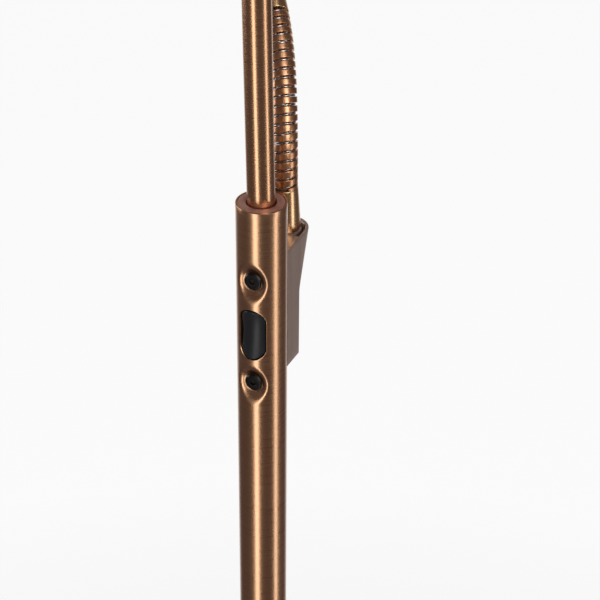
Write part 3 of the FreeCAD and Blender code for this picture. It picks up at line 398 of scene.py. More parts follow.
bracket_bronze = long_brushed("bronze brushed lengthwise", rgb(0.74, 0.59, 0.50), rgb(0.52, 0.39, 0.33))
bush_bronze = lathe_turned("turned bronze face", rgb(0.86, 0.54, 0.45), rgb(0.50, 0.27, 0.22),
                           rough=0.6, rings=2200.0, relief=0.5)
foot_bronze = lathe_turned("golden turned bronze", rgb(0.76, 0.49, 0.26), rgb(0.66, 0.40, 0.20),
                           (0, NECK_Y * MM, 0), rough=0.27, relief=0.02)
print(bracket_bronze.name, "|", bush_bronze.name, "|", foot_bronze.name)

# %% [markdown]
# ## The neck's two wires, the black parts and the hidden ones
# The neck's band has the pole's colour with a smoother, shinier skin, and the wire in its groove
# is bare bright steel. The rocker is moulded satin plastic with a very fine grain, and the screws
# are blackened steel.

# %% Neck, plastic and steel
def plain_metal(name, light, dark, rough, grain=400.0, relief=0.08, coat=0.0):
    finish = Finish(name)
    cloud = finish.noise(finish.place((grain, grain, grain)), 1.0, 3.0)
    slow = finish.noise(finish.place((35, 35, 35)), 1.0, 2.0)
    shade = finish.clamped(cloud * 0.5 + slow * 0.9 - 0.2)
    return finish.surface(
        Base_Color=finish.blend(shade, dark, light), Metallic=1.0,
        Roughness=rough + (cloud - 0.5) * 0.12, Coat_Weight=coat, Coat_Roughness=0.15,
        Normal=finish.bump(cloud, relief, 0.0001))


def moulded(name, light, dark, rough, grain=2600.0, relief=0.12, gloss=0.5):
    finish = Finish(name)
    fine = finish.noise(finish.place((grain, grain, grain)), 1.0, 2.0)
    slow = finish.noise(finish.place((90, 90, 90)), 1.0, 2.0)
    return finish.surface(
        Base_Color=finish.blend(slow, dark, light),
        Roughness=rough + (fine - 0.5) * 0.1,
        Specular_IOR_Level=gloss,
        Normal=finish.bump(fine, relief, 0.0001))


band_copper = plain_metal("neck band copper", rgb(0.68, 0.37, 0.19), rgb(0.52, 0.24, 0.12), 0.33, 500,
                          0.01, 0.3)
wire_steel = plain_metal("bright neck wire", rgb(0.58, 0.55, 0.52), rgb(0.42, 0.39, 0.37), 0.26, 400, 0.02)
rocker_black = moulded("black satin plastic", rgb(0.014, 0.015, 0.017), rgb(0.008, 0.009, 0.010), 0.36,
                       gloss=0.28)
screw_black = plain_metal("blackened steel", rgb(0.050, 0.048, 0.044), rgb(0.022, 0.021, 0.020), 0.3,
                          900, 0.15)
zinc = plain_metal("zinc-plated steel", rgb(0.62, 0.62, 0.60), rgb(0.48, 0.48, 0.47), 0.34)
aluminium = plain_metal("plain aluminium", rgb(0.66, 0.66, 0.67), rgb(0.52, 0.52, 0.53), 0.4)
cast_iron = moulded("black casting", rgb(0.06, 0.06, 0.06), rgb(0.03, 0.03, 0.03), 0.75, 900, 0.6)
pad_felt = moulded("black base pad", rgb(0.045, 0.045, 0.045), rgb(0.025, 0.025, 0.025), 0.9, 2200, 0.6)
inlet_rubber = moulded("black inlet rubber", rgb(0.03, 0.03, 0.03), rgb(0.02, 0.02, 0.02), 0.6)
opal = moulded("opal diffuser", rgb(0.86, 0.86, 0.84), rgb(0.80, 0.80, 0.78), 0.45, 1500, 0.04)
board_white = moulded("white light board", rgb(0.80, 0.80, 0.76), rgb(0.70, 0.70, 0.66), 0.5)
print("finishes", len(bpy.data.materials))

# %% [markdown]
# ## Mesh helpers
# Three small helpers do most of the modelling. One makes an object from points and faces, one
# turns a profile round an axis as a lathe does, and one runs an object's modifiers and keeps the
# plain mesh that comes out.

# %% Mesh helpers
def make_piece(name, points, faces, finish, smooth=32.0):
    mesh = bpy.data.meshes.new(name)
    mesh.from_pydata([tuple(p) for p in points], [], faces)
    mesh.materials.append(finish)
    piece = bpy.data.objects.new(name, mesh)
    bpy.context.scene.collection.objects.link(piece)
    tidy_normals(mesh, smooth)
    return piece


def tidy_normals(mesh, smooth):
    """Merge doubles, point the faces outwards and smooth all but the sharp edges."""
    shape = bmesh.new()
    shape.from_mesh(mesh)
    bmesh.ops.remove_doubles(shape, verts=shape.verts, dist=1e-6)
    bmesh.ops.recalc_face_normals(shape, faces=shape.faces)
    shape.to_mesh(mesh)
    shape.free()
    mesh.polygons.foreach_set("use_smooth", [True] * len(mesh.polygons))
    mesh.set_sharp_from_angle(angle=math.radians(smooth))
    mesh.update()


def baked(piece, smooth=32.0):
    """Run the modifiers and keep the result as a plain mesh."""
    graph = bpy.context.evaluated_depsgraph_get()
    mesh = bpy.data.meshes.new_from_object(piece.evaluated_get(graph))
    piece.modifiers.clear()
    piece.data = mesh
    tidy_normals(mesh, smooth)
    return piece


def bevelled(piece, width, segments=2, angle=40.0, smooth=32.0):
    bevel = piece.modifiers.new("bevel", "BEVEL")
    bevel.width = width * MM
    bevel.segments = segments
    bevel.limit_method = "ANGLE"
    bevel.angle_limit = math.radians(angle)
    return baked(piece, smooth)


def ring_faces(rings, around):
    """Quads between rings of points, each ring closed on itself."""
    return [(r * around + k, r * around + (k + 1) % around,
             (r + 1) * around + (k + 1) % around, (r + 1) * around + k)
            for r in range(rings - 1) for k in range(around)]


def lathe(name, profile, finish, place=Matrix.Identity(4), segments=96, closed=True, smooth=32.0):
    """Turn a profile of (radius, height) pairs in millimetres round the Z axis of place."""
    points = []
    for i in range(segments):
        angle = 2 * math.pi * i / segments
        for radius, height in profile:
            point = Vector((radius * math.cos(angle), radius * math.sin(angle), height)) * MM
            points.append(place @ point)
    count = len(profile)
    strips = [(k, (k + 1) % count) for k in range(count if closed else count - 1)]
    faces = [(i * count + k, (i + 1) % segments * count + k, (i + 1) % segments * count + n, i * count + n)
             for i in range(segments) for k, n in strips]
    return make_piece(name, points, faces, finish, smooth)


def stands_for(piece, body, slot, *replaced):
    """Ride on a body and hide the CAD nodes that the piece stands for. The slot is not used."""
    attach(piece, body)
    if replaced:
        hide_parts(*replaced)
    print(piece.name, len(piece.data.polygons), "faces")
    return piece


# %% [markdown]
# ## Geometry Nodes from sums
# The screws and the neck's turns repeat by a rule, so Geometry Nodes make them. The class below
# writes such a tree with named inputs, runs it on a mesh and keeps the plain result.

# %% Geometry Nodes from sums
class Recipe(Sheet):
    """A Geometry Nodes tree with named inputs."""

    def __init__(self, name):
        tree = bpy.data.node_groups.new(name, "GeometryNodeTree")
        super().__init__(tree)
        tree.interface.new_socket("Geometry", in_out="OUTPUT", socket_type="NodeSocketGeometry")
        tree.interface.new_socket("Blank", in_out="INPUT", socket_type="NodeSocketGeometry")
        self.entry = tree.nodes.new("NodeGroupInput")
        self.sockets = {}

    def value(self, label, kind="NodeSocketFloat"):
        """A named input of the tree."""
        made = self.tree.interface.new_socket(label, in_out="INPUT", socket_type=kind)
        self.sockets[label] = made.identifier
        return Term(self, self.entry.outputs[label])

    def blank(self):
        return Term(self, self.entry.outputs["Blank"])

    def stretched(self, vector, amount):
        settings = {"operation": "SCALE"}
        return self.node("ShaderNodeVectorMath", settings, {0: vector, "Scale": amount}, "Vector")

    def finish(self, geometry):
        """End the tree with real geometry in its finish."""
        material = self.value("Finish", "NodeSocketMaterial")
        real = self.node("GeometryNodeRealizeInstances", {}, [geometry])
        painted = self.node("GeometryNodeSetMaterial", {}, {"Geometry": real, "Material": material})
        self.node("NodeGroupOutput", {}, [painted])

    def run(self, name, mesh, smooth=32.0, **values):
        """Make a piece from a mesh, with the inputs' values given by their labels."""
        piece = bpy.data.objects.new(name, mesh)
        bpy.context.scene.collection.objects.link(piece)
        modifier = piece.modifiers.new("recipe", "NODES")
        modifier.node_group = self.tree
        for label, value in values.items():
            modifier[self.sockets[label.replace("_", " ")]] = value
        return baked(piece, smooth)


print("recipes ready")

# %% [markdown]
# ## The switch tube
# The upper length of the wide pole is one tube with a long slot for the rocker and two hollows
# pressed in for the screws. The tube is a grid wrapped round the axis. Near a screw the skin
# sinks to the hollow's floor through a smooth minimum of two surfaces, which gives the soft lip
# of pressed metal. Round the slot the grid gives way to rings that change from a rectangle to the
# slot's outline, so the opening has a clean edge without any cutting.

# %% Switch tube
SLOT_R = 8.2
SLOT_HALF = 7.9
SCREW_HALF = 32.7
DIMPLE_FLOOR = 10.3
COLUMNS = 160
PATCH_COLUMNS = 48
PATCH_HALF = 20.0


def soft_minimum(a, b, width):
    overlap = max(width - abs(a - b), 0.0) / width
    return min(a, b) - overlap * overlap * width / 4


def dimple_height(x, z):
    """Distance of a hollow's surface from the pole's axis plane."""
    distance = min(math.hypot(x, z - SWITCH_Z - side * SCREW_HALF) for side in (-1, 1))
    rise = max(distance - 5.3, 0.0)
    return DIMPLE_FLOOR + rise * rise / (rise + 1.4) * 1.0


def tube_skin(angle, z):
    """A point of the tube's outer face, angle from the front."""
    x = POLE_R * math.sin(angle)
    front = POLE_R * math.cos(angle)
    if abs(angle) < 1.5 and abs(abs(z - SWITCH_Z) - SCREW_HALF) < 20:
        front = soft_minimum(front, dimple_height(x, z), 3.4)
    return Vector((x, -front, z)) * MM


def tube_rows():
    """Heights of the grid's rows: fine round the switch, wide apart elsewhere."""
    rows = list(np.linspace(600.0, 1040.0, 12)) + [1045.0]
    rows += list(np.arange(SWITCH_Z - 53.4, SWITCH_Z + 53.41, 0.6))
    rows += list(np.linspace(SWITCH_Z + 57.0, RING, 6))
    return rows


def slot_point(x, z):
    """The point on the slot's outline that faces a point outside it."""
    along = min(max(z - SWITCH_Z, -SLOT_HALF), SLOT_HALF)
    away = Vector((x, z - SWITCH_Z - along))
    away.normalize()
    return away.x * SLOT_R, SWITCH_Z + along + away.y * SLOT_R


def switch_tube_mesh():
    rows = tube_rows()
    angles = [2 * math.pi * i / COLUMNS for i in range(COLUMNS)]
    half = PATCH_COLUMNS // 2
    low = min(range(len(rows)), key=lambda i: abs(rows[i] - SWITCH_Z + PATCH_HALF))
    high = min(range(len(rows)), key=lambda i: abs(rows[i] - SWITCH_Z - PATCH_HALF))
    points = [tube_skin(a if a < math.pi else a - 2 * math.pi, z) for z in rows for a in angles]

    def index(row, column):
        return row * COLUMNS + column % COLUMNS

    faces = []
    for row in range(len(rows) - 1):
        for column in range(COLUMNS):
            centred = (column + half) % COLUMNS
            if low <= row < high and centred < PATCH_COLUMNS:
                continue
            faces.append((index(row, column), index(row, column + 1),
                          index(row + 1, column + 1), index(row + 1, column)))
    border = [(low, c) for c in range(-half, half)] + [(r, half) for r in range(low, high)]
    border += [(high, c) for c in range(half, -half, -1)] + [(r, -half) for r in range(high, low, -1)]
    ring = [index(row, column) for row, column in border]
    steps = 9
    for step in range(1, steps + 1):
        share = step / steps
        new_ring = []
        for row, column in border:
            angle = 2 * math.pi * column / COLUMNS
            x0, z0 = POLE_R * angle, rows[row]
            slot_x, z1 = slot_point(POLE_R * math.sin(angle), z0)
            x1 = POLE_R * math.asin(slot_x / POLE_R)
            arc = x0 + (x1 - x0) * share
            new_ring.append(len(points))
            points.append(tube_skin(arc / POLE_R, z0 + (z1 - z0) * share))
        for k in range(len(border)):
            n = (k + 1) % len(border)
            faces.append((ring[k], ring[n], new_ring[n], new_ring[k]))
        ring = new_ring
    return points, faces


tube_points, tube_faces = switch_tube_mesh()
switch_tube = make_piece("pole_with_switch_slot", tube_points, tube_faces, tube_copper)
wall = switch_tube.modifiers.new("wall", "SOLIDIFY")
wall.thickness = POLE_WALL * MM
wall.offset = -1.0
bevelled(switch_tube, 0.22, 2, 50.0, 40.0)
stands_for(switch_tube, "lamp", "brushed_copper", "pole_switch_tube")

# %% [markdown]
# ## The rocker
# The rocker follows the pole's curve from side to side and is dished along its length, so that a
# thumb finds either end. Its outline is a slot shape with a softly rounded rim. Rings of the
# outline, moved inwards step by step, cover it from the rim to its middle line.

# %% Rocker
ROCKER_R = 7.5
ROCKER_HALF = 7.9
ROCKER_RIM = 1.1
ROCKER_END = 14.6
ROCKER_MIDDLE = 12.1


def rocker_reach(z):
    """Radius of the dished face, from the pole's axis, at a height from the rocker's middle."""
    end = ROCKER_HALF + ROCKER_R
    bow = ROCKER_END - ROCKER_MIDDLE
    radius = (end * end + bow * bow) / (2 * bow)
    return ROCKER_MIDDLE + radius - math.sqrt(radius * radius - z * z)


def rocker_mesh(around=96):
    outline = []
    for i in range(around):
        angle = 2 * math.pi * (i + 0.5) / around
        shift = ROCKER_HALF if math.sin(angle) > 0 else -ROCKER_HALF
        outline.append((math.cos(angle), math.sin(angle), shift))
    straight = [(side, 0.0, z) for side in (1, -1) for z in np.linspace(-ROCKER_HALF, ROCKER_HALF, 13)[1:-1]]
    outline += straight
    outline.sort(key=lambda o: math.atan2(ROCKER_R * o[1] + o[2], ROCKER_R * o[0]))
    insets = [0.0] + [ROCKER_RIM * (1 - math.cos(math.radians(a))) for a in range(0, 91, 10)]
    drops = [None] + [ROCKER_RIM * (1 - math.sin(math.radians(a))) for a in range(0, 91, 10)]
    insets += [ROCKER_RIM + (ROCKER_R - ROCKER_RIM) * i / 12 for i in range(1, 13)]
    drops += [0.0] * 12
    points = []
    for inset, drop in zip(insets, drops):
        for cosine, sine, shift in outline:
            x = (ROCKER_R - inset) * cosine
            z = (ROCKER_R - inset) * sine + shift
            reach = rocker_reach(z)
            front = math.sqrt(reach * reach - x * x) - drop if drop is not None else 9.2
            points.append(Vector((x, -front, SWITCH_Z + z)) * MM)
    return points, ring_faces(len(insets), len(outline)) + [tuple(range(len(outline)))]


rocker_points, rocker_faces = rocker_mesh()
rocker = make_piece("rocker", rocker_points, rocker_faces, rocker_black, 50.0)
stands_for(rocker, "rocker", "black_plastic", "switch_rocker")

# %% [markdown]
# ## The wide pole's top: bush and thin pole
# A turned bush closes the wide pole, and the thin pole stands in it a little askew. Both are
# profiles turned round an axis, as a lathe makes them, because that is what they are. The bush's
# edges get a small bevel, which catches the light as a broken edge does.

# %% Bush and thin pole
BUSH_R = 12.77
BUSH_BORE = 8.4
BUSH_FOOT = 1156
BUSH_FLOOR = 1162
ROD_HOLE = 5.03
bush = lathe("turned_bush", [(ROD_HOLE, BUSH_FOOT), (BUSH_R, BUSH_FOOT), (BUSH_R, RING), (BUSH_BORE, RING),
                             (BUSH_BORE, BUSH_FLOOR), (ROD_HOLE, BUSH_FLOOR)], bush_bronze, segments=128)
bevelled(bush, 0.3)
stands_for(bush, "lamp", "turned_bronze", "pole_bush")

LEAN_UP = LEANED.to_3x3() @ Vector((0, 0, 1))
THIN_BORE, THIN_FOOT, THIN_TOP = 6.65, 1162.2, 1725
thin_copper = brushed_bronze("brushed copper, round the thin pole", tuple(LEAN_UP), COPPER_LIGHT,
                             COPPER_DARK, rough=0.27, coat=0.25)
thin_profile = [(THIN_BORE, THIN_FOOT), (THIN_R, THIN_FOOT), (THIN_R, THIN_TOP), (THIN_BORE, THIN_TOP)]
thin_pole = lathe("thin_pole", thin_profile, thin_copper, LEANED)
stands_for(thin_pole, "lamp", "brushed_copper", "upper_pole")

# %% [markdown]
# ## The lower length of the wide pole, and the base's collar
# The lower tube meets the switch tube in a fine seam, and at its foot it stands in a turned
# collar whose flank is hollow.

# %% Lower tube and collar
POLE_BORE, POLE_FOOT, SEAM = 12.8, 29, 600
lower_profile = [(POLE_BORE, POLE_FOOT), (POLE_R, POLE_FOOT), (POLE_R, SEAM), (POLE_BORE, SEAM)]
lower_tube = lathe("pole_lower_length", lower_profile, tube_copper, segments=128)
bevelled(lower_tube, 0.25)
stands_for(lower_tube, "lamp", "brushed_copper", "pole_lower_tube")


def arc_through(start, middle, end, steps=10):
    """Points on the circle through three (radius, height) pairs."""
    (ax, ay), (bx, by), (cx, cy) = start, middle, end
    d = 2 * (ax * (by - cy) + bx * (cy - ay) + cx * (ay - by))
    a2, b2, c2 = ax * ax + ay * ay, bx * bx + by * by, cx * cx + cy * cy
    ox = (a2 * (by - cy) + b2 * (cy - ay) + c2 * (ay - by)) / d
    oy = (a2 * (cx - bx) + b2 * (ax - cx) + c2 * (bx - ax)) / d
    radius = math.hypot(ax - ox, ay - oy)
    first = math.atan2(ay - oy, ax - ox)
    sweep = (math.atan2(cy - oy, cx - ox) - first + math.pi) % (2 * math.pi) - math.pi
    angles = [first + sweep * i / steps for i in range(steps + 1)]
    return [(ox + radius * math.cos(angle), oy + radius * math.sin(angle)) for angle in angles]


flank = arc_through((22, 29), (17.4, 32.2), (15.6, 39), 12)
collar_bronze = lathe_turned("turned bronze collar", rgb(0.52, 0.31, 0.22), rgb(0.34, 0.18, 0.12))
collar_profile = [(5.1, 25), (22, 25)] + flank + [(14.03, 39), (14.03, 29), (5.1, 29)]
collar = lathe("base_turned_collar", collar_profile, collar_bronze, segments=128)
bevelled(collar, 0.3, 2, 50)
stands_for(collar, "lamp", "turned_bronze", "base_collar")

# %% [markdown]
# ## The base cover
# The cover is spun from sheet over a former: an upright side, a rounded shoulder and a shallow
# crown. A closed profile gives it the sheet's thickness. Spinning leaves fine rings, so its
# finish is the turned one in the pole's colours.

# %% Base cover
spun_copper = lathe_turned("spun copper", rgb(0.56, 0.29, 0.16), rgb(0.38, 0.17, 0.095), rough=0.3,
                           rings=1800.0, relief=0.05)
outer = [(138, 3)] + arc_through((138, 14), (135.95, 18.95), (131, 21), 8) + [(24, 25), (5.1, 25)]
inner = [(5.1, 23.5), (24, 23.5)] + arc_through((131, 19.5), (134.89, 17.89), (136.5, 14), 8) + [(136.5, 3)]

cover = lathe("base_spun_cover", outer + inner, spun_copper, segments=192)
hole_cutter = lathe("inlet_hole", [(0.001, -6), (3.6, -6), (3.6, 6), (0.001, 6)], spun_copper,
                    Matrix.Translation((0, 0.13725, 0.0085)) @ Matrix.Rotation(math.radians(-90), 4, "X"), 32)
cut = cover.modifiers.new("inlet", "BOOLEAN")
cut.object = hole_cutter
cut.solver = "EXACT"
baked(cover)
bpy.data.objects.remove(hole_cutter)
stands_for(cover, "lamp", "brushed_copper", "base_cover")

# %% [markdown]
# ## Two socket screws
# Two black screws with flat heads hold the switch. One is made as a mesh: rings that run from the
# chamfered rim to the six-sided socket. A recipe then sets copies of it on a line of points, one
# point for each screw, and turns them to face the front.

# %% Socket screw
HEAD_R = 5.25
SOCKET_FLATS = 3.0


def hexagon_reach(angle, flats):
    """Distance from the middle to a hexagon's side, in the direction of an angle."""
    turned_by = (angle + math.pi / 6) % (math.pi / 3) - math.pi / 6
    return flats / 2 / math.cos(turned_by)


def screw_mesh(around=48):
    rings = [("round", 0.0, -7.0), ("round", 2.0, -7.0), ("round", 2.0, -1.6), ("round", HEAD_R - 0.15, -1.6),
             ("round", HEAD_R, -1.45), ("round", HEAD_R, -0.75), ("round", HEAD_R - 0.12, -0.58),
             ("round", HEAD_R - 0.62, -0.08), ("round", HEAD_R - 0.8, 0.0), ("round", HEAD_R - 1.25, -0.02),
             ("round", HEAD_R - 1.4, -0.12), ("round", HEAD_R - 1.55, -0.02),
             ("hex", SOCKET_FLATS + 0.35, 0.0), ("hex", SOCKET_FLATS, -0.18), ("hex", SOCKET_FLATS, -1.1),
             ("round", 0.0, -1.25)]
    points = []
    for kind, size, height in rings:
        for i in range(around):
            angle = 2 * math.pi * i / around
            reach = size if kind == "round" else hexagon_reach(angle, size)
            points.append(Vector((reach * math.cos(angle), reach * math.sin(angle), height)) * MM)
    return points, ring_faces(len(rings), around)


screw_points, screw_faces = screw_mesh()
one_screw = make_piece("one_screw", screw_points, screw_faces, screw_black, 28.0)
print("one screw", len(one_screw.data.polygons), "faces")

# %% Screws on their points
row = Recipe("screws on a line")
count = row.value("Count", "NodeSocketInt")
first_point = row.value("First point", "NodeSocketVector")
step = row.value("Step", "NodeSocketVector")
facing = row.value("Facing", "NodeSocketVector")
line = row.node("GeometryNodeMeshLine", {"mode": "OFFSET"},
                {"Count": count, "Start Location": first_point, "Offset": step})
copies = row.node("GeometryNodeInstanceOnPoints", {},
                  {"Points": line, "Instance": row.blank(), "Rotation": facing})
row.finish(copies)
HEAD_FRONT = 10.33 + 1.6
screws = row.run("socket_screws", one_screw.data, 28.0, Count=2, Facing=(math.radians(90), 0, 0),
                 First_point=(0, -HEAD_FRONT * MM, (SWITCH_Z - SCREW_HALF) * MM),
                 Step=(0, 0, 2 * SCREW_HALF * MM), Finish=screw_black)
bpy.data.objects.remove(one_screw)
stands_for(screws, "lamp", "black_screw", "switch_screws")

# %% [markdown]
# ## The arm's bracket
# A pressed channel, brazed to the pole's back, carries the reading arm. Its sides run straight up
# from a rounded back, and towards the top the back leans out until the rim is a half circle round
# the neck's foot. Each row of the mesh is the channel's outline at one height, outer skin first and
# then the inner skin back again, so that the sheet has its real thickness.

# %% Bracket
BRACKET_HALF = 13.4
BRACKET_WALL = 1.8
BRACKET_LOW = RING - 104.3
BRACKET_FLARE = RING - 62.0
BRACKET_RIM = RING - 29.8


def channel_side(half, back, corner, front, arc_steps=14):
    """Half the channel's outline at one height, from the pole to the middle of the back."""
    side = back - corner
    line_points = [(half, front + (side - front) * i / 5) for i in range(5)]
    arc = [(half - corner + corner * math.cos(a), side + corner * math.sin(a))
           for a in np.linspace(0, math.pi / 2, arc_steps)]
    return line_points + arc + [((half - corner) * 0.5, back)]


def flare(z):
    """How far the back has leant out at a height, from 0 at the bend to 1 at the rim."""
    reach = (z - BRACKET_FLARE) / (BRACKET_RIM - BRACKET_FLARE)
    softness = 0.05
    return (reach + math.sqrt(reach * reach + softness * softness)) / 2 if reach < 1 else 1.0


def bracket_row(z):
    out = flare(z)
    row_points = []
    for shrink in (0.0, BRACKET_WALL):
        half = BRACKET_HALF - shrink
        back = 22.1 + (NECK_Y + BRACKET_HALF - 22.1) * out - shrink
        corner = max(2.6 - shrink, 0.8) * (1 - out) + (half - 0.05) * out
        front = math.sqrt(14.05 * 14.05 - half * half)
        side = channel_side(half, back, corner, front)
        loop = side + [(0.0, back)] + [(-x, y) for x, y in reversed(side)]
        row_points.append(loop if shrink == 0 else loop[::-1])
    return [Vector((x, y, z)) * MM for x, y in row_points[0] + row_points[1]]


def bracket_mesh():
    heights = [*np.linspace(BRACKET_LOW, BRACKET_FLARE - 5, 8),
               *np.linspace(BRACKET_FLARE - 3.5, BRACKET_FLARE + 6, 9),
               *np.linspace(BRACKET_FLARE + 8, BRACKET_RIM, 14)]
    rows = [bracket_row(z) for z in heights]
    count = len(rows[0])
    half = count // 2
    points = [point for r in rows for point in r]
    faces = ring_faces(len(rows), count)
    for base in (0, (len(rows) - 1) * count):
        faces += [(base + k, base + k + 1, base + count - 2 - k, base + count - 1 - k)
                  for k in range(half - 1)]
    return points, faces


bracket_points, bracket_faces = bracket_mesh()
bracket = make_piece("arm_bracket_channel", bracket_points, bracket_faces, bracket_bronze)
bevelled(bracket, 0.4, 3, 50.0, 28.0)
stands_for(bracket, "lamp", "bracket_bronze", "arm_bracket")

# %% [markdown]
# ## The neck's foot and the arm's ferrule
# Two turned ferrules end the bending neck. The lower one is a slim cone of golden bronze that
# stands on the bracket's plate. The upper one joins the neck to the straight arm.

# %% Ferrules
foot_profile = [(2.4, 1149.6), (7.9, 1149.6), (7.9, 1150.5), (9.05, 1150.5), (7.4, 1175.2), (2.4, 1175.2)]
foot = lathe("neck_foot_ferrule", foot_profile, foot_bronze,
             Matrix.Translation((0, NECK_Y * MM, 0)), segments=96)
bevelled(foot, 0.4, 3)
stands_for(foot, "lamp", "gold_bronze", "neck_foot")

# %% [markdown]
# ## Plate in the bracket's top
# A thin plate carries the neck's foot and closes the bracket's top in front of it. Behind the
# foot it ends in a half circle, which leaves a narrow opening at the channel's back.

# %% Plate in the bracket's top
PLATE_TOP = 1149.6
PLATE_T = 3.0
POLE_SEAT = 14.05
PLATE_HALF = 11.56
PLATE_BACK = 9.3
SHOULDER = 6.0


def plate_outline():
    """Sides along the channel, then a half circle round the foot, which leaves the back open."""
    step = math.sqrt(PLATE_BACK ** 2 - SHOULDER ** 2)
    arc = [(PLATE_BACK * math.cos(a), NECK_Y + PLATE_BACK * math.sin(a))
           for a in np.linspace(-math.atan2(SHOULDER, step), math.pi + math.atan2(SHOULDER, step), 49)]
    front = math.sqrt(POLE_SEAT ** 2 - PLATE_HALF ** 2)
    corner = math.asin(PLATE_HALF / POLE_SEAT)
    pole = [(-POLE_SEAT * math.sin(a), POLE_SEAT * math.cos(a)) for a in np.linspace(corner, -corner, 17)]
    return ([(PLATE_HALF, front), (PLATE_HALF, NECK_Y - SHOULDER)] + arc
            + [(-PLATE_HALF, NECK_Y - SHOULDER)] + pole[:-1])


outline = plate_outline()
count = len(outline)
plate_points = [Vector((x, y, z)) * MM for z in (PLATE_TOP - PLATE_T, PLATE_TOP) for x, y in outline]
plate_faces = [tuple(range(count)), tuple(range(count, 2 * count))]
plate_faces += [(k, (k + 1) % count, count + (k + 1) % count, count + k) for k in range(count)]
plate = make_piece("bracket_top_plate", plate_points, plate_faces, bracket_bronze)
bevelled(plate, 0.2)
stands_for(plate, "lamp", "bracket_bronze", "bracket_plate")

# %% Sizes of the neck
COIL_START = 1.8
COIL_PITCH = 4.72
NECK_LENGTH = 98.0
NECK_START = 1175.2


def neck_share(s):
    return min(max(s / NECK_LENGTH, 0.0), 1.0)


def neck_axes(s):
    """The neck's direction at a length from its foot, and its sideways and outward directions."""
    tilt = math.radians(58.0) * neck_share(s) ** 0.8
    azimuth = math.radians(25.8 + 11.2 * neck_share(s) ** 2)
    flat = Vector((-math.sin(azimuth), math.cos(azimuth), 0))
    tangent = flat * math.sin(tilt) + Vector((0, 0, 1)) * math.cos(tilt)
    side = Vector((0, 0, 1)).cross(flat)
    return tangent, side, side.cross(tangent)


NECK_STEP = 0.5
NECK_RUN_IN = 6.0


def neck_line():
    """Points of the neck's middle line and its axes there, from below the foot to past the top."""
    rows = [(-NECK_RUN_IN, Vector((0, NECK_Y, NECK_START - NECK_RUN_IN)))]
    rows.append((0.0, Vector((0, NECK_Y, NECK_START))))
    while rows[-1][0] < NECK_LENGTH + 6.0:
        s, point = rows[-1]
        rows.append((s + NECK_STEP, point + neck_axes(s + NECK_STEP / 2)[0] * NECK_STEP))
    return rows


line_rows = neck_line()
arm_axes = neck_axes(NECK_LENGTH)
arm_start = next(point for s, point in line_rows if abs(s - NECK_LENGTH) < 1e-6)
ARM = Matrix((arm_axes[2], arm_axes[1], arm_axes[0])).transposed().to_4x4()
ARM.translation = arm_start * MM
print("neck ends at", [round(c, 2) for c in arm_start], "mm")

# %% Arm ferrule and arm tube
ferrule_copper = lathe_turned("turned ferrule copper", rgb(0.72, 0.47, 0.25), rgb(0.63, 0.39, 0.20),
                              tuple(arm_start * MM), tuple(arm_axes[0]), 0.28, relief=0.02)
ferrule_profile = [(2.4, 0), (7.3, 0), (7.3, 14), (6.9, 24), (6.05, 24), (6.05, 12), (2.4, 12)]
ferrule = lathe("arm_ferrule_turned", ferrule_profile, ferrule_copper, ARM, segments=96)
bevelled(ferrule, 0.35, 3)
stands_for(ferrule, "arm", "neck_copper", "arm_ferrule")
arm_copper = brushed_bronze("brushed copper, round the arm", tuple(arm_axes[0]), COPPER_LIGHT, COPPER_DARK)
arm_tube = lathe("arm_straight_tube", [(5, 12.03), (6, 12.03), (6, 212.03), (5, 212.03)], arm_copper, ARM,
                 segments=96)
stands_for(arm_tube, "arm", "brushed_copper", "arm_tube")

# %% [markdown]
# ## The bending neck
# A real gooseneck is two wires wound into each other: a wide outer band and a round wire that sits
# in the groove between its turns. Both follow the same rule, a point that circles the neck's middle
# line while it moves along it, so one recipe winds both. It reads the middle line and its axes
# from a mesh, samples them at every step of the wire, and lays a closed, softly squared section
# round that point.

# %% Middle line of the neck
def neck_line_mesh():
    mesh = bpy.data.meshes.new("neck_middle_line")
    steps = [(i, i + 1) for i in range(len(line_rows) - 1)]
    mesh.from_pydata([tuple(p * MM) for s, p in line_rows], steps, [])
    for label, axis in (("side", 1), ("outward", 2)):
        attribute = mesh.attributes.new(label, "FLOAT_VECTOR", "POINT")
        attribute.data.foreach_set("vector", [c for s, p in line_rows for c in neck_axes(s)[axis]])
    return mesh


print("middle line", len(line_rows), "points")

# %% Recipe for a wound wire
winding = Recipe("wire wound round a bent line")
first_turn = winding.value("First turn")
last_turn = winding.value("Last turn")
ahead = winding.value("Ahead")
run_in = winding.value("Run in")
pitch = winding.value("Pitch")
coil_radius = winding.value("Coil radius")
half_width = winding.value("Half width")
half_thickness = winding.value("Half thickness")
squareness = winding.value("Squareness")
narrowing = winding.value("Narrowing")
around = winding.value("Around", "NodeSocketInt")
rows = winding.value("Rows", "NodeSocketInt")
sheet = winding.node("GeometryNodeMeshGrid", {},
                     {"Size X": 1.0, "Size Y": 1.0, "Vertices X": around, "Vertices Y": rows})
spot = winding.node("ShaderNodeSeparateXYZ", {}, [winding.node("GeometryNodeInputPosition")])
round_share = spot.output("X") + 0.5
row_number = (spot.output("Y") + 0.5) * (rows - 1)
share = winding.clamped((row_number - 1) / (rows - 3))
open_end = row_number.maths("GREATER_THAN", 0.5) * row_number.maths("LESS_THAN", rows - 1.5)
turns = first_turn + (last_turn - first_turn) * share
section = round_share * (2 * math.pi)
cosine, sine = section.maths("COSINE"), section.maths("SINE")
width_here = half_width - narrowing * turns
axial = cosine.maths("SIGN") * cosine.maths("ABSOLUTE") ** squareness * width_here * open_end
radial = coil_radius + sine.maths("SIGN") * sine.maths("ABSOLUTE") ** squareness * half_thickness * open_end
length = run_in + pitch * (turns + ahead) + axial
curve = winding.node("GeometryNodeMeshToCurve", {}, [winding.blank()])


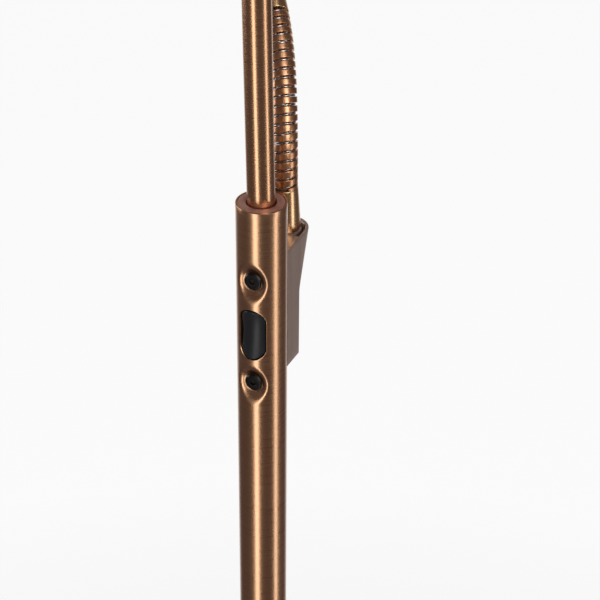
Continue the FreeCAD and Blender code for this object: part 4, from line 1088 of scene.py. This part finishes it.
def sampled(label):
    """The middle line's place, or one of its axes, at the length of each point."""
    inputs = {"Curves": curve, "Length": length}
    if label:
        kind = {"data_type": "FLOAT_VECTOR"}
        inputs["Value"] = winding.node("GeometryNodeInputNamedAttribute", kind, [label])
    return winding.node("GeometryNodeSampleCurve", {"mode": "LENGTH", "data_type": "FLOAT_VECTOR"}, inputs,
                        "Value" if label else "Position")


angle = turns * (2 * math.pi)
outwards = winding.stretched(sampled("outward"), angle.maths("COSINE") * radial)
sideways = winding.stretched(sampled("side"), angle.maths("SINE") * radial)
place = winding.vector("ADD", winding.vector("ADD", sampled(None), outwards), sideways)
wound = winding.node("GeometryNodeSetPosition", {}, {"Geometry": sheet, "Position": place})
welded = winding.node("GeometryNodeMergeByDistance", {}, {"Geometry": wound, "Distance": 1e-6})
winding.finish(welded)
print("winding recipe", len(winding.tree.nodes), "nodes")

# %% [markdown]
# ## One stretch of wire for each hinge
# The neck bends at seven hinges. Each stretch of band and wire runs from the middle of one rigid
# length to the middle of the next, so it holds one hinge, and the stretches meet end to end.
# Turn by turn towards the top, the band gets a little narrower and the wire a little wider.

# %% Wound stretches
HINGES = [1.75 + 2.75 * i for i in range(7)]
MIDDLES = [-0.45] + [turn + 1.375 for turn in HINGES[:-1]] + [20.45]
ROWS_PER_TURN = 44
BAND = {"Coil_radius": 6.53 * MM, "Half_width": 1.76 * MM, "Half_thickness": 0.72 * MM, "Squareness": 0.22,
        "Narrowing": 0.016 * MM, "Around": 33}
WIRE = {"Coil_radius": 5.6 * MM, "Half_width": 0.36 * MM, "Half_thickness": 0.8 * MM, "Squareness": 0.9,
        "Narrowing": -0.021 * MM, "Around": 17}


def on_neck(turn):
    """The middle line's point at a turn of the coil, in metres."""
    s = COIL_START + COIL_PITCH * turn
    nearest = min(range(1, len(line_rows)), key=lambda i: abs(line_rows[i][0] - s))
    known, point = line_rows[nearest]
    return tuple((point + neck_axes(s)[0] * (s - known)) * MM)


def wound_stretch(name, hinge, kind, ahead_turns, material):
    low, high = MIDDLES[hinge], MIDDLES[hinge + 1]
    piece = winding.run(name, neck_line_mesh(), 40.0, First_turn=low - ahead_turns,
                        Last_turn=high - ahead_turns, Ahead=ahead_turns,
                        Run_in=(NECK_RUN_IN + COIL_START) * MM, Pitch=COIL_PITCH * MM,
                        Rows=int((high - low) * ROWS_PER_TURN), Finish=material, **kind)
    start = on_neck(max(low, 0.35) + 0.1)
    end = on_neck(min(high, 19.6) - 0.1)
    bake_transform(piece)
    return piece


for i in range(7):
    band = wound_stretch("neck_band_%d" % (i + 1), i, BAND, 0.0, band_copper)
    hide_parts(*(["neck_coil_0"] if i == 0 else []), "neck_coil_%d" % (i + 1))
    wire = wound_stretch("neck_wire_%d" % (i + 1), i, WIRE, 0.5, wire_steel)
    if i < 6:
        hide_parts("neck_core_%d" % (i + 1))
    print(band.name, len(band.data.polygons), "faces,", wire.name, len(wire.data.polygons), "faces")

# %% [markdown]
# ## The reading head
# The shade is spun: a domed back and a straight skirt, open at the front, where a frosted lens
# sits a little inside the mouth. Both are turned profiles. They are drawn from the head's hinge,
# with Z along the beam, and put in place by one matrix. The beam points 25 degrees outwards from
# straight down, as such a head hangs over a chair.

# %% Reading head
HEAD_AIM = math.radians(25.0)
head_side = arm_axes[1]
head_out = head_side.cross(Vector((0, 0, 1)))
beam = head_out * math.sin(HEAD_AIM) - Vector((0, 0, 1)) * math.cos(HEAD_AIM)
HEAD = Matrix((head_side.cross(beam), head_side, beam)).transposed().to_4x4()
HEAD_HINGE = 228.03
HEAD.translation = ARM @ Vector((0, 0, HEAD_HINGE * MM))
spun_shade = lathe_turned("spun copper shade", COPPER_LIGHT, COPPER_DARK, tuple(HEAD.translation),
                          tuple(beam), 0.3, 1800.0, 0.03)
shade_outer = [(0.0, 13), (8, 13)] + arc_through((12, 13), (27.84, 21.16), (34, 37), 14) + [(34, 81)]
shade_inner = ([(32.8, 81)] + arc_through((32.8, 37), (26.81, 21.95), (11.4, 14.2), 14)
               + [(8, 14.2), (0.0, 14.2)])
shade = lathe("reading_shade", shade_outer + shade_inner, spun_shade, HEAD, 128, closed=False)
bevelled(shade, 0.35, 2, 60)
stands_for(shade, "head", "brushed_copper", "head_shade")

lens_glass = moulded("frosted lens", rgb(0.82, 0.83, 0.83), rgb(0.74, 0.75, 0.75), 0.4, 1200, 0.15)
lens_rings = [(radius, 78.6 + (0.35 if i % 2 else 0.0)) for i, radius in enumerate(range(30, 3, -2))]
lens_edge = [(0.0, 76.1), (32.2, 76.1), (32.6, 76.5), (32.6, 78.2), (32.0, 78.7)]
lens = lathe("reading_lens", lens_edge + lens_rings + [(0.0, 78.9)], lens_glass, HEAD, 96, closed=False)
stands_for(lens, "head", "frosted_lens", "head_lens")
print("head hinge at", [round(c, 4) for c in HEAD.translation])

# %% [markdown]
# ## The uplighter
# The bowl is spun as well: a flat floor, a flank that swings out and an upright rim with a small
# rounded edge. The opal diffuser lies inside the rim and is a little crowned, as a moulded sheet
# is. The whole bowl leans with the thin pole.

# %% Uplighter bowl and diffuser
BOWL_FLOOR = 1763.0
BOWL = LEANED @ Matrix.Translation((0, 0, BOWL_FLOOR * MM))
bowl_copper = lathe_turned("spun copper bowl", COPPER_LIGHT, COPPER_DARK, (0, 0, 0), tuple(LEAN_UP),
                           0.3, 1200.0, 0.04)
bowl_outer = [(0.0, 0), (30, 0), (60, 0)] + arc_through((66, 0), (108.78, 13.72), (135, 49), 20) + [(135, 58)]
bowl_inner = ([(133.5, 58)] + arc_through((133.5, 49), (107.85, 14.8), (66, 1.5), 20)
              + [(60, 1.5), (30, 1.5), (0.0, 1.5)])
bowl = lathe("uplight_spun_bowl", bowl_outer + bowl_inner, bowl_copper, BOWL, 192, closed=False)
bevelled(bowl, 0.45, 3, 60)
stands_for(bowl, "uplighter", "brushed_copper", "uplight_bowl")

crown = [(133.0 * math.cos(math.radians(a)), 55.6 + 1.6 * math.sin(math.radians(a)))
         for a in range(10, 90, 8)]
diffuser_edge = [(0.0, 53.05), (132.6, 53.05), (133.2, 53.5), (133.2, 55.3)]
diffuser_profile = diffuser_edge + crown + [(0.0, 57.2)]
diffuser = lathe("uplight_opal_diffuser", diffuser_profile, opal, BOWL, 128, closed=False)
stands_for(diffuser, "uplighter", "opal_acrylic", "uplight_diffuser")

# %% [markdown]
# ## Milled and pressed pieces
# Forks, tongues and the cord inlet are right as the CAD has them, apart from their sharp edges.
# Each gets a copy of its CAD mesh with its triangles joined into flat faces, and a fine bevel,
# because a real milled edge is always broken and catches the light.

# %% Dressed copies
def dressed(name, node, finish, width, smooth=30.0):
    """A merged and bevelled copy of a node's mesh."""
    shape = bmesh.new()
    shape.from_mesh(nodes[node].data)
    bmesh.ops.remove_doubles(shape, verts=shape.verts, dist=2e-6)
    bmesh.ops.dissolve_limit(shape, angle_limit=math.radians(0.5), verts=shape.verts, edges=shape.edges)
    mesh = bpy.data.meshes.new(name)
    shape.to_mesh(mesh)
    shape.free()
    mesh.materials.clear()
    mesh.materials.append(finish)
    piece = bpy.data.objects.new(name, mesh)
    bpy.context.scene.collection.objects.link(piece)
    bevel = piece.modifiers.new("bevel", "BEVEL")
    bevel.width = width * MM
    bevel.segments = 2
    bevel.limit_method = "ANGLE"
    bevel.angle_limit = math.radians(50)
    bevel.use_clamp_overlap = True
    return baked(piece, smooth)


fork_bronze = plain_metal("milled bronze", rgb(0.54, 0.33, 0.20), rgb(0.38, 0.21, 0.13), 0.3, 700, 0.08, 0.3)
for name, node, body, slot, finish, width in (
        ("arm_end_fork", "head_fork", "arm", "turned_bronze", fork_bronze, 0.3),
        ("reading_head_tongue", "head_tongue", "head", "turned_bronze", fork_bronze, 0.3),
        ("pole_end_fork", "uplight_fork", "lamp", "turned_bronze", fork_bronze, 0.4),
        ("uplight_head_tongue", "uplight_tongue", "uplighter", "turned_bronze", fork_bronze, 0.4),
        ("cord_inlet_grommet", "cord_inlet", "lamp", "black_rubber", inlet_rubber, 0.2)):
    stands_for(dressed(name, node, finish, width), body, slot, node)

# %% [markdown]
# ## Pieces that stay as the CAD has them
# The inner pieces keep their CAD meshes, and only get their finishes: zinc-plated steel for rods,
# nuts and pins, a black casting for the weight, and plain aluminium behind the lights.

# %% Finishes for the CAD's own pieces
kept = {
    zinc: ("base_washer", "base_nut", "base_threaded_rod", "pole_foot_plug", "pole_coupler",
           "upper_pole_plug", "upper_pole_rod", "upper_pole_nut", "switch_pivot_pin", "switch_frame",
           "neck_stud", "neck_nut", "head_pin", "uplight_pin"),
    aluminium: ("head_heat_sink", "uplight_heat_sink", "uplight_ledge"),
    cast_iron: ("base_weight",),
    pad_felt: ("base_pad",),
    rocker_black: ("switch_body", "head_bezel"),
    screw_black: ("uplight_screws",),
    board_white: ("head_led_board", "uplight_led_board"),
}
for finish, names in kept.items():
    for name in names:
        for slot in nodes[name].material_slots:
            slot.material = finish
print("finished", sum(len(names) for names in kept.values()), "CAD nodes")
